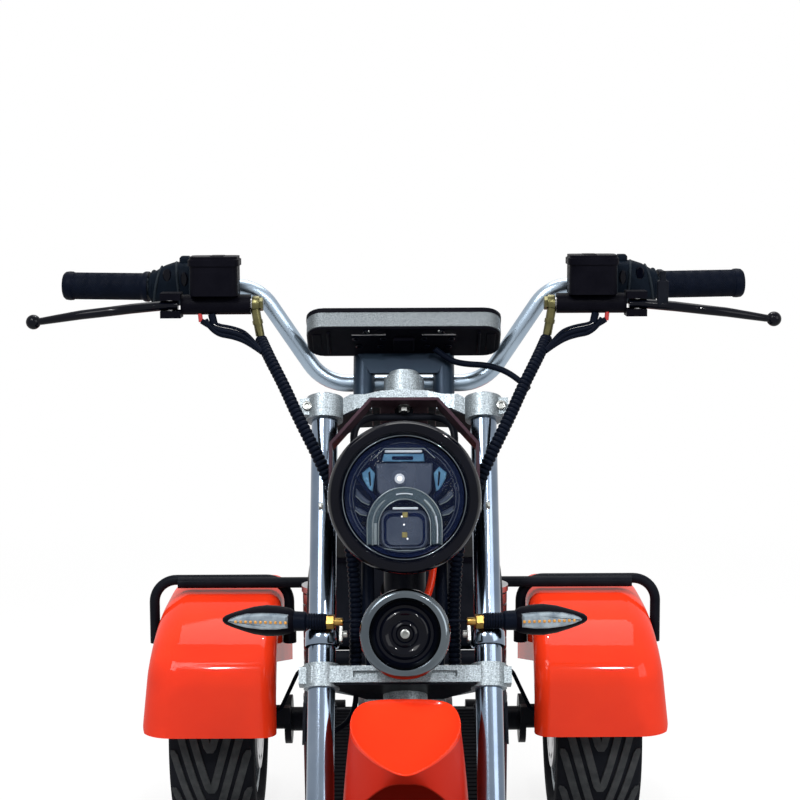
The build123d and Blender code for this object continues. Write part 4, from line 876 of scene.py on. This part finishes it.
class SCOOTER_OT_switches(bpy.types.Operator):
    """Sculpted switch housings between grips and reservoirs"""

    bl_idname = "scooter.switches"
    bl_label = "Switch housings"

    def execute(self, context):
        shell = Piece("switch_shells", BAR)
        stations = [(-117, 15, 15, 17), (-119, 19, 19, 20), (-126, 22, 21, 22), (-138, 29, 23, 24)]
        stations += [(-150, 33, 24, 25), (-165, 33.5, 24.5, 25), (-174, 32, 24, 24)]
        stations += [(-177, 29, 22, 22), (-178, 14, 14, 14)]
        squareness = 0.72
        rings = []
        for z, rise, drop, half in stations:
            ring = []
            for x, y in polygon(40, 1):
                x = math.copysign(abs(x) ** squareness, x) * half
                y = math.copysign(abs(y) ** squareness, y) * (drop if y > 0 else rise)
                ring.append((x, y, z))
            rings.append(ring)
        shell.skin("grey_plastic", rings)
        shell.box("grey_plastic", (-8, -41, -170), (10, -30, -157), 2.5)
        face = BAR @ Matrix(((0, 0, 1, 0), (0, 1, 0, 0), (-1, 0, 0, 0), (0, 0, 0, 1)))
        shell.plate("gloss_black", [(x + 144, y * 1.5 - 17) for x, y in polygon(20, 5.5)], 18, 25.2, 1, face)
        shell.plate("gloss_black", [(x + 167, y * 2 - 12) for x, y in polygon(20, 4.5)], 18, 26.4, 1, face)
        ridges = [[(10, -33, -154), (22, -27, -156), (26, -10, -158), (25.4, 8, -160), (18, 22, -161)]]
        ridges.append([(8, -27, -134), (19, -22, -133), (24, -8, -130), (23, 8, -127), (16, 18, -125)])
        ridges.append([(12, -34, -174), (22, -26, -174.6), (24.6, -8, -175), (24, 10, -175), (16, 22, -174)])
        # Raised ridges in a lighter finish, which paints their highlights.
        for ridge in ridges:
            shell.tube("switch_ridge_highlight", along(ridge, BAR), 1.7, 10)
        shell.bead("grey_plastic", 20.4, -121, 2, 10, 40)
        shell.box("matte_plastic", (-29, -2, -150), (-20, 14, -128), 2)
        button = [(0, -9), (6.5, -9), (7, -8), (7, 0), (0, 0)]
        shell.lathe("red_lens", button, at(BAR, (-21, -12, -140), QUARTER, "Y"), 24)
        shell.mirror()
        shell.done("steering", "black_plastic", "switch_housings")
        return {"FINISHED"}


class SCOOTER_OT_brakes(bpy.types.Operator):
    """Brake reservoirs, hose ends, levers and their cables"""

    bl_idname = "scooter.brakes"
    bl_label = "Hand brakes"

    def execute(self, context):
        trim = Piece("brake_fittings", STEM)
        trim.plate("matte_plastic", rounded(209.5, 273.5, 150.5, 203.5, 10), 503, 512, 1.2)
        trim.box("matte_plastic", (228, 160, 511), (247, 190, 516), 1.5)
        for x in (217, 266):
            for y in (157, 197):
                trim.screw("steel", at(STEM, (x, y, 511)), 3, 2.5)
        side = at(STEM, (180, 176, 453), QUARTER, "Y")
        trim.plate("olive_metal", polygon(6, 8.6), 0, 6, 0.6, side)
        trim.lathe("olive_metal", [(0, 5), (10.8, 5), (11, 6), (11, 13), (10.4, 14), (0, 14)], side, 28)
        trim.lathe("steel", [(0, 14), (7.5, 14), (7.5, 18), (0, 18)], side, 24)
        trim.tube("olive_metal", spots(STEM, ((190, 171, 447), (187, 171, 430), (184, 171, 413))), 5.8)
        trim.tube("olive_metal", spots(STEM, ((187.6, 171, 433), (186.6, 171, 428))), 6.8)
        trim.tube("red_lens", spots(STEM, ((261, 172, 442), (260, 172, 431))), 3)
        trim.tube("rubber", spots(STEM, ((246, 172, 441), (243, 171, 428))), 5)
        cables = (((259, 172, 432), 422, 3.6), ((254, 168, 434), 416, 3.6), ((243, 171, 434), 428, 2))
        for start, sag, radius in cables:
            route = [start, (244, 170, sag), (216, 166, sag - 4), (196, 158, sag - 12), (180, 146, 394)]
            trim.tube("rubber", along(route, STEM), radius, 10)
        trim.mirror()
        trim.done("steering", "black_plastic")
        lever = Piece("lever_blades", STEM)
        run = [(288, 166, 453, 6, 9), (300, 167, 453, 6.4, 9), (318, 158, 452, 6.4, 7.5)]
        run += [(345, 149, 450, 6.4, 7), (380, 145.5, 446, 6.2, 7), (410, 147, 442.5, 6, 6.6)]
        run += [(440, 154, 437.5, 5.4, 6), (462, 164, 433.5, 4.8, 5), (470, 167, 432.4, 4.4, 4.6)]
        rings = []
        for x, y, z, rise, depth in run:
            rings.append([(x, y + depth * a, z + rise * b) for a, b in polygon(20, 1)])
        lever.skin("gloss_black", rings)
        ball_radius, ball_steps = 9.6, 14
        turns = [math.pi * step / ball_steps for step in range(ball_steps + 1)]
        ball = [(ball_radius * math.sin(turn), -ball_radius * math.cos(turn)) for turn in turns]
        lever.lathe("gloss_black", ball, at(STEM, (474, 168, 432)), 28)
        lever.lathe("steel", [(0, -13), (5, -13), (5, 13), (0, 13)], at(STEM, (299, 168, 453)), 24)
        lever.mirror()
        lever.box("satin_black", (322, 148, 449), (336, 158, 483), 1.5)
        lever.tube("satin_black", spots(STEM, ((329, 153, 481), (329, 153, 495))), 4)
        lever.done("steering", "black_frame", "brake_levers")
        return {"FINISHED"}


class SCOOTER_OT_display(bpy.types.Operator):
    """Display's black back with its screws, cover plates and cable"""

    bl_idname = "scooter.display"
    bl_label = "Display"

    def execute(self, context):
        back = Piece("display_back", DISPLAY)
        back.plate("matte_plastic", rounded(-124, 124, -36.5, 37, 21), -16, -12.5, 1.5)
        for side in (-1, 1):
            back.box("matte_plastic", (side * 97 - 2, -28, -19), (side * 97 + 2, 26, -15), 1)
            back.box("steel", (side * 45 - 22, -21.5, -17.2), (side * 45 + 22, -20, -15.5), 0.3)
            for x, y in ((26, -12), (62, -12), (30, 8), (58, 8), (48, -29)):
                back.screw("gloss_black", at(DISPLAY, (side * x, y, -16), math.pi), 4.4, 2)
            back.screw("zinc", at(DISPLAY, (side * 46, -30, -16), math.pi), 2.6, 2)
            back.box("matte_plastic", (side * 112 - 6, -22, -17), (side * 112 + 6, 20, -15), 0.8)
        back.box("matte_plastic", (-14, -14, -20), (14, 20, -15), 2)
        wide, narrow = rounded(-125.8, 125.8, -38.8, 38.8, 22.8), rounded(-117, 117, -30, 30, 14)
        rim = [(wide, 7), (wide, 12.6), (inset(wide, 1.4), 14)]
        rim += [(inset(narrow, -1.4), 14), (narrow, 12.6), (narrow, 7)]
        back.skin("matte_plastic", [[(x, y, z) for x, y in ring] for ring, z in rim], loop=True)
        cable = [(40, 10, -20), (58, 22, -30), (78, 26, -34), (112, 22, -38), (142, 22, -52), (160, 16, -76)]
        back.tube("rubber", along(cable, DISPLAY), 4, 10)
        back.done("steering", "black_plastic")
        return {"FINISHED"}


def bundle_route():
    """World points along the right-hand wrapped hose."""
    start = FORK.inverted() @ (STEM @ Vector((182.6, 170.4, 407)))
    points = [start, (172, -62, 410), (150, -72, 364), (132, -82, 320), (98, -86, 250)]
    points += [(66, -54, 172), (60, -32, 100), (60, -30, 50), (60, -30, 10)]
    return along(points, FORK)


class SCOOTER_OT_hoses(bpy.types.Operator):
    """Wrapped hoses from the hand brakes, the front brake hose, two looms and a red lead"""

    bl_idname = "scooter.hoses"
    bl_label = "Hoses"

    def execute(self, context):
        pitch = context.scene.scooter_looks.wrap_pitch
        core = Piece("hose_cores")
        right = bundle_route()
        left = flipped(right)
        for line in (right, left):
            core.tube("rubber", line, 5.4)
        drop = [(-60, 8, -6), (-60, 8, -40), (-100, 4, -62), (-106, 4, -90), (-106, 4, -290)]
        drop += [(-100, 20, -318), (-84, 45, -330)]
        core.tube("rubber", along(drop, FORK), 3.5)
        loom = [(37, 30, 250), (44, -20, 210), (46, -30, 150), (44, -34, 60), (40, -20, 20)]
        for side in (-1, 1):
            core.tube("rubber", along([(side * x, y, z) for x, y, z in loom], FORK), 8)
        lead = [(-52, -10, 44), (-40, -30, 50), (-14, -42, 56), (12, -44, 74), (30, -42, 104)]
        lead += [(36, -42, 140), (35, -52, 172), (33, -76, 186)]
        core.tube("red_gloss", along(lead, FORK), 4.5)
        core.done("steering", "hose_rubber", "hose_bundles")
        for line, name in ((right, "hose_wrap_right"), (left, "hose_wrap_left")):
            mesh = wrapped(ring_shape(4.6, 3.4, "rubber"), line, pitch)
            for face in mesh.polygons:
                face.use_smooth = True
            placed(name, mesh, "steering", "hose_rubber")
        return {"FINISHED"}


class SCOOTER_OT_front_mudguard(bpy.types.Operator):
    """Front mudguard: hollow beak with a lip, flared sides and an arched mouth; sides and inside in a darker
    red that paints their shade
    """

    bl_idname = "scooter.front_mudguard"
    bl_label = "Front mudguard"

    def execute(self, context):
        tip, slope = Vector((0, -214, -51)), Vector((0, 0.932, 0.3624))
        up = Vector((0, -0.3624, 0.932))
        middle = 84
        edge = [(0, 10), (15, 18), (32, 33), (52, 60), (63, 87), (64.5, 112), (57, 138), (42, 148), (0, 150)]
        foot = [(0, -190, -60), (19, -187, -61), (37, -178, -76), (56, -152, -102), (74, -128, -138)]
        foot += [(78, -100, -150), (76, -45, -172), (60, -4, -188), (0, 10, -190)]
        spread = [0, 0, 0, 0, 1, 2, 4, 3, 0]

        def around(half):
            return half + [Vector((-p.x, p.y, p.z)) for p in reversed(half[1:-1])]

        def dish(share, height):
            half = []
            for x, v in edge:
                v = middle + (v - middle) * share
                half.append(tip + Vector((x * share, 0, 0)) + slope * v + up * height)
            return around(half)

        def skirt(share):
            half = []
            for (x, v), low, out in zip(edge, foot, spread):
                high = tip + Vector((x, 0, 0)) + slope * v
                point = high.lerp(Vector(low), share)
                point.x += out * math.sin(math.pi * min(1, share * 1.15)) * 0.6
                half.append(point)
            return around(half)

        def within(ring):
            narrow, pull, drop, turning_y = 0.94, 3.6, 3, -120
            made = []
            for p in ring:
                y = p.y + (pull if p.y < turning_y else -pull)
                made.append(Vector((p.x * narrow, y, p.z - drop)))
            return made

        guard = Piece("front_mudguard", STEM)
        top = ((0.16, -16), (0.4, -14.4), (0.66, -9.6), (0.86, -4.2), (0.955, -0.4))
        lip = ((0.985, 1.6), (1.012, 1.4), (1.014, -1.2))
        rings = [dish(*station) for station in top + lip]
        rings += [skirt(share) for share in (0.05, 0.12, 0.35, 0.68, 0.96, 1.0)]
        guard.skin("red_gloss", rings[:9], caps=False)
        # Painted shade: the skirt and the inside take a darker copy of the red paint, as if in shadow.
        guard.skin("red_painted_shade", rings[8:], caps=False)
        inner = [within(skirt(share)) for share in (0.985, 0.66, 0.34, 0.16)]
        inner += [dish(0.86, -12), dish(0.6, -18), dish(0.3, -22), dish(0.16, -22.6)]
        guard.skin("red_painted_shade", [rings[-1]] + inner, caps=False)
        for ring in (rings[0], inner[-1]):
            face = guard.mesh.faces.new([guard.mesh.verts.new(STEM @ Vector(p)) for p in ring])
            face.material_index = 0
        mesh = smoothed(guard, 2)
        placed("front_mudguard", mesh, "steering", "red_body", "front_fender")
        return {"FINISHED"}


# Tyres: half width, radius, bead radius, half width at the bead, drop of the crown.
FRONT_TYRE = (60, 236, 152, 45, 16)
REAR_TYRE = (75, 200, 127, 58, 12)
CROWN_SHARE = 0.88
GROOVE = 3.2
RIB_STEPS = 28
RIB_SWEEP = math.radians(68)
RIB_HALF, RIB_TIP = 7.2, 4


def tyre_radius(x, radius, half, crown):
    """Radius of the tread surface at a distance from the tyre's middle."""
    return radius - crown * (x / (half * CROWN_SHARE)) ** 2


def tyre(name, centre, body, node, sizes, ribs):
    """Carcass with beads and sidewall rings, and a tread of long slanted ribs."""
    half, radius, bead, bead_half, crown = sizes
    carcass = Piece(name, Matrix.Translation(centre) @ Matrix.Rotation(QUARTER, 4, "Y") @ MM)
    flank = (radius + bead) / 2
    side = [(bead + 1, bead_half - 2), (bead + 1, bead_half + 1), (bead + 12, bead_half + 2)]
    side += [(flank - 14, half - 3), (flank - 8, half - 1), (flank - 5, half - 2.4), (flank + 4, half - 0.6)]
    side += [(flank + 16, half - 2.2), (radius - crown - GROOVE, half * 0.9)]
    for share in (0.8, 0.6, 0.4, 0.2, 0):
        x = half * CROWN_SHARE * share
        side.append((tyre_radius(x, radius, half, crown) - GROOVE, x))
    profile = side + [(r, -x) for r, x in reversed(side[:-1])]
    profile += [(bead + 1, -bead_half + 6), (radius - 16, -half * 0.7)]
    profile += [(radius - 16, half * 0.7), (bead + 1, bead_half - 6)]
    carcass.lathe("tyre", profile, steps=96, loop=True)
    carcass.done(body, "tyre_rubber", node)
    for way, label in ((1, "out"), (-1, "in")):
        rib = Piece("rib", MM)
        rings = []
        for step in range(RIB_STEPS + 1):
            share = step / RIB_STEPS
            x = way * (2 + share * (half * 0.84))
            turn = -RIB_SWEEP * share
            width = RIB_HALF if 0 < step < RIB_STEPS else RIB_TIP
            foot = -GROOVE - 1
            ring = []
            for dx, lift in ((-width, foot), (-width + 0.8, 0), (width - 0.8, 0), (width, foot)):
                r = tyre_radius(x + dx, radius, half, crown) + lift - 0.2
                ring.append((x + dx, -r * math.cos(turn), -r * math.sin(turn)))
            rings.append(ring)
        rib.skin("tread", rings)
        mesh = copies(rib, ribs, centre, turn=(2 * math.pi / ribs, 0, 0))
        placed(name + "_tread_" + label, mesh, body, "tyre_rubber")


class SCOOTER_OT_tyres(bpy.types.Operator):
    """Tyres with their tread"""

    bl_idname = "scooter.tyres"
    bl_label = "Tyres"

    def execute(self, context):
        settings = context.scene.scooter_looks
        left = Vector((-REAR_WHEEL.x, REAR_WHEEL.y, REAR_WHEEL.z))
        ribs = settings.rear_ribs
        tyre("front_cover", FRONT_WHEEL, "front_wheel", "front_tyre", FRONT_TYRE, settings.front_ribs)
        tyre("rear_cover_right", REAR_WHEEL, "rear_wheel_right", "rear_tyre_right", REAR_TYRE, ribs)
        tyre("rear_cover_left", left, "rear_wheel_left", "rear_tyre_left", REAR_TYRE, ribs)
        return {"FINISHED"}


PAN_FRONT, PAN_LENGTH = -292, 502
PAN_LOW, PAN_RISE, PAN_THICK = 111, 34, 8.3
PAD_RINGS, PAD_SIDES = 40, 36
QUILTS, QUILT_DEPTH = 5, 2.2


def seat_floor(y):
    """Height of the seat pan's top along the seat, from the mudguards' top."""
    return PAN_LOW + PAN_RISE * (y - PAN_FRONT) / PAN_LENGTH + PAN_THICK


def cushion(name, node, top, half):
    """Crowned cushion on the pan with drawn-in sides, sewn edge and cross seams."""
    pad = Piece(name, TAIL)
    first, last = top[0][0], top[-1][0]
    rings = []
    edges = []
    for step in range(PAD_RINGS + 1):
        share = step / PAD_RINGS
        y = first + (last - first) * share
        span = next(n for n in range(len(top) - 1) if top[n + 1][0] >= y - 1e-6)
        (y0, z0), (y1, z1) = top[span], top[span + 1]
        high = z0 + (z1 - z0) * (y - y0) / (y1 - y0)
        low = seat_floor(y)
        end = min(1.0, 0.55 + 3.2 * min(share, 1 - share)) ** 0.5
        width = half * (0.86 + 0.14 * end) * (1 - 0.03 * math.sin(math.pi * share) ** 2)
        high = low + (high - low) * (0.62 + 0.38 * end)
        quilt = QUILT_DEPTH * abs(math.sin(math.pi * share * QUILTS)) ** 0.5 - QUILT_DEPTH
        ring = []
        for n in range(PAD_SIDES):
            turn = 2 * math.pi * n / PAD_SIDES
            x = math.copysign(abs(math.cos(turn)) ** 0.36, math.cos(turn)) * width
            lift = math.copysign(abs(math.sin(turn)) ** 0.42, math.sin(turn))
            middle = (high + low) / 2
            crown = (1 - (x / half) ** 2) * 7 if lift > 0 else 0
            z = middle + lift * (high - low) / 2 + max(0, lift) * (crown - 6 + quilt)
            x *= 1 - 0.03 * (1 - abs(lift))
            ring.append((x, y, z))
        rings.append(ring)
        edges.append(Vector((width * 0.985, y, low + (high - low) * 0.82)))
    pad.skin("leather", rings)
    made = placed(name, pad.data(60), "frame", "seat_cover", node)
    piping = Piece(name + "_piping", TAIL)
    for side in (1, -1):
        line = [TAIL @ Vector((side * p.x, p.y, p.z)) for p in edges[1:-1]]
        piping.tube("stitching", line, 2.2, 8)
    piping.done("frame", "seat_cover")


class SCOOTER_OT_seats(bpy.types.Operator):
    """Driver's and passenger's cushions"""

    bl_idname = "scooter.seats"
    bl_label = "Seats"

    def execute(self, context):
        driver = [(-324, 157), (-286, 191), (-172, 199), (-52, 205), (-2, 237), (26, 241)]
        cushion("driver_cushion", "driver_seat", driver, 140)
        cushion("passenger_cushion", "passenger_seat", [(36, 211), (118, 207), (216, 213)], 104)
        return {"FINISHED"}


class SCOOTER_OT_deck(bpy.types.Operator):
    """Ribbed rubber mat on the footboard"""

    bl_idname = "scooter.deck"
    bl_label = "Deck mat"

    def execute(self, context):
        mat = Piece("deck_mat")
        outline = [(-118, -285), (118, -285), (150, 218), (-150, 218)]
        mat.plate("deck_rubber", outline, 341.5, 344, 0.8)
        mat.done("frame", "black_plastic")
        rib = Piece("rib")
        rib.box("deck_rubber", (-108, -3, 0), (108, 3, 2), 0.8)
        count, first, pitch = 30, Vector((0, -0.27, 0.3435)), Vector((0, 0.0165, 0))
        placed("deck_ribs", copies(rib, count, first, pitch), "frame", "black_plastic")
        return {"FINISHED"}


class SCOOTER_OT_tail(bpy.types.Operator):
    """Lenses of the tail lamp and of the rear signals"""

    bl_idname = "scooter.tail"
    bl_label = "Tail lamps"

    def execute(self, context):
        tail = Piece("tail_lenses", TAIL)
        tail.box("red_lens", (-66, 232, 109), (66, 242, 132), 2)
        bullet = [(18.4, 24), (18.6, 26), (18.6, 31), (14.6, 39), (8, 42), (0, 42.8)]
        for x in (97, -97):
            tail.lathe("amber_lens", bullet, at(TAIL, (x, 212.5, 119), -QUARTER), 32)
        tail.done("frame", "signal_shell")
        return {"FINISHED"}


class StageSettings(bpy.types.PropertyGroup):
    """Camera and light of the studio."""

    distance: bpy.props.FloatProperty(
        name="Camera distance", description="Camera ahead of the origin", default=2.658, unit="LENGTH"
    )
    height: bpy.props.FloatProperty(
        name="Camera height", description="Camera above the floor", default=1.2, unit="LENGTH"
    )
    pitch: bpy.props.FloatProperty(
        name="Pitch", description="Camera's look down", default=math.radians(7.2), unit="ROTATION"
    )
    roll: bpy.props.FloatProperty(
        name="Roll", description="Camera's roll about its view", default=math.radians(-0.25), unit="ROTATION"
    )
    lens: bpy.props.FloatProperty(name="Lens", description="Focal length in mm", default=84.15)
    floor: bpy.props.FloatVectorProperty(
        name="Floor", description="Colour of floor and backdrop", default=(0.6, 0.6, 0.6), subtype="COLOR"
    )


# Lamps: name, place, aim, side of the square, power in watts. The small ones give the gloss spots.
LAMPS = (
    ("key", (-1.6, -2.6, 3.6), (0, 0, 0.6), 1.6, 80),
    ("fill", (2.6, -2.4, 2.2), (0, 0, 0.7), 2.0, 45),
    ("top", (0.2, 1.2, 3.6), (0, 0.2, 0.4), 2.2, 60),
    ("spark_left", (-0.56, -1.53, 2.09), (-0.31, 0.39, 0.36), 0.04, 11),
    ("spark_right", (0.63, -1.65, 1.95), (0.35, 0.39, 0.36), 0.04, 11),
    ("spark_top", (0.04, 0.72, 2.79), (0, -0.57, 0.53), 0.08, 8),
)
WHITE = (1, 1, 1, 1)
FLOOR_SIZE = 60
# The floor's own white: its share near the object, where the shadow shows, and far off, by metres.
FLOOR_WHITE = (("From Min", 1.2), ("From Max", 3.6), ("To Min", 0.82), ("To Max", 1.0))
SKY_LIGHT, SKY_SEEN = 0.5, 1.0


def area_lamp(name, place, aim, size, power):
    """Soft square lamp at a place, aimed at a point."""
    data = bpy.data.lights.new(name, "AREA")
    data.shape = "RECTANGLE"
    data.size = data.size_y = size
    data.energy = power
    lamp = bpy.data.objects.new(name, data)
    bpy.context.collection.objects.link(lamp)
    lamp.location = place
    lamp.rotation_euler = (Vector(aim) - Vector(place)).to_track_quat("-Z", "Y").to_euler()


def backdrop_rays(tree):
    """One for camera, glossy and transmission rays, which see the backdrop, and nought for light."""
    path = tree.nodes.new("ShaderNodeLightPath")
    value = path.outputs["Is Camera Ray"]
    for kind in ("Is Glossy Ray", "Is Transmission Ray"):
        most = tree.nodes.new("ShaderNodeMath")
        most.operation = "MAXIMUM"
        tree.links.new(value, most.inputs[0])
        tree.links.new(path.outputs[kind], most.inputs[1])
        value = most.outputs[0]
    return value


def floor_finish(colour):
    """Floor that is white where it is seen, lights the object by its colour and keeps the shadow."""
    made = bpy.data.materials.new("floor")
    made.use_nodes = True
    nodes, link = made.node_tree.nodes, made.node_tree.links.new
    shader = nodes["Principled BSDF"]
    shader.inputs["Roughness"].default_value = 0.9
    glow = nodes.new("ShaderNodeEmission")
    glow.inputs["Color"].default_value = WHITE
    mix = nodes.new("ShaderNodeMixShader")
    rays = backdrop_rays(made.node_tree)
    tone = nodes.new("ShaderNodeMix")
    tone.data_type = "RGBA"
    tone.inputs["A"].default_value = (*colour, 1)
    tone.inputs["B"].default_value = WHITE
    link(rays, tone.inputs["Factor"])
    link(tone.outputs["Result"], shader.inputs["Base Color"])
    spot = nodes.new("ShaderNodeTexCoord")
    reach = nodes.new("ShaderNodeVectorMath")
    reach.operation = "LENGTH"
    link(spot.outputs["Object"], reach.inputs[0])
    fade = nodes.new("ShaderNodeMapRange")
    for label, value in FLOOR_WHITE:
        fade.inputs[label].default_value = value
    link(reach.outputs["Value"], fade.inputs["Value"])
    share = nodes.new("ShaderNodeMath")
    share.operation = "MULTIPLY"
    link(rays, share.inputs[0])
    link(fade.outputs["Result"], share.inputs[1])
    link(share.outputs[0], mix.inputs["Fac"])
    link(shader.outputs["BSDF"], mix.inputs[1])
    link(glow.outputs["Emission"], mix.inputs[2])
    link(mix.outputs["Shader"], nodes["Material Output"].inputs["Surface"])
    return made


def studio_world():
    """White surroundings, dimmer as light than as they are seen."""
    world = bpy.data.worlds.new("studio")
    world.use_nodes = True
    nodes, link = world.node_tree.nodes, world.node_tree.links.new
    sky = nodes["Background"]
    sky.inputs["Color"].default_value = WHITE
    level = nodes.new("ShaderNodeMapRange")
    level.inputs["To Min"].default_value = SKY_LIGHT
    level.inputs["To Max"].default_value = SKY_SEEN
    link(backdrop_rays(world.node_tree), level.inputs["Value"])
    link(level.outputs["Result"], sky.inputs["Strength"])
    return world


class SCOOTER_OT_stage(bpy.types.Operator):
    """Floor, light and camera"""

    bl_idname = "scooter.stage"
    bl_label = "Stage"

    def execute(self, context):
        settings = context.scene.scooter_stage
        bpy.ops.mesh.primitive_plane_add(size=FLOOR_SIZE)
        floor = context.object
        floor.name = "floor"
        floor.data.materials.append(floor_finish(settings.floor))
        context.scene.world = studio_world()
        for lamp in LAMPS:
            area_lamp(*lamp)
        data = bpy.data.cameras.new("camera")
        data.lens = settings.lens
        data.sensor_width = 36
        data.shift_x = -0.005
        camera = bpy.data.objects.new("camera", data)
        context.collection.objects.link(camera)
        place = Matrix.Translation((0, -settings.distance, settings.height))
        tilt = Matrix.Rotation(QUARTER - settings.pitch, 4, "X")
        camera.matrix_world = place @ tilt @ Matrix.Rotation(settings.roll, 4, "Z")
        context.scene.camera = camera
        context.scene.view_settings.view_transform = "Standard"
        return {"FINISHED"}


class SCOOTER_PT_panel(bpy.types.Panel):
    """Sidebar panel of the scooter"""

    bl_idname = "SCOOTER_PT_panel"
    bl_label = "Scooter"
    bl_space_type = "VIEW_3D"
    bl_region_type = "UI"
    bl_category = "Scooter"

    def draw(self, context):
        for step in STEPS:
            self.layout.operator(step.bl_idname)
        for settings in (context.scene.scooter_looks, context.scene.scooter_stage):
            for name in type(settings).__annotations__:
                self.layout.prop(settings, name)


STEPS = (
    SCOOTER_OT_finishes,
    SCOOTER_OT_headlamp,
    SCOOTER_OT_lamp_fittings,
    SCOOTER_OT_horn,
    SCOOTER_OT_signals,
    SCOOTER_OT_grips,
    SCOOTER_OT_switches,
    SCOOTER_OT_brakes,
    SCOOTER_OT_display,
    SCOOTER_OT_hoses,
    SCOOTER_OT_front_mudguard,
    SCOOTER_OT_tyres,
    SCOOTER_OT_seats,
    SCOOTER_OT_deck,
    SCOOTER_OT_tail,
    SCOOTER_OT_stage,
)
CLASSES = (LookSettings, StageSettings, *STEPS, SCOOTER_PT_panel)


def register():
    for cls in CLASSES:
        bpy.utils.register_class(cls)
    bpy.types.Scene.scooter_looks = bpy.props.PointerProperty(type=LookSettings)
    bpy.types.Scene.scooter_stage = bpy.props.PointerProperty(type=StageSettings)


def unregister():
    del bpy.types.Scene.scooter_stage
    del bpy.types.Scene.scooter_looks
    for cls in reversed(CLASSES):
        bpy.utils.unregister_class(cls)


def main():
    register()
    for step in STEPS:
        getattr(bpy.ops.scooter, step.bl_idname.split(".")[1])()


if __name__ == "__main__":
    main()
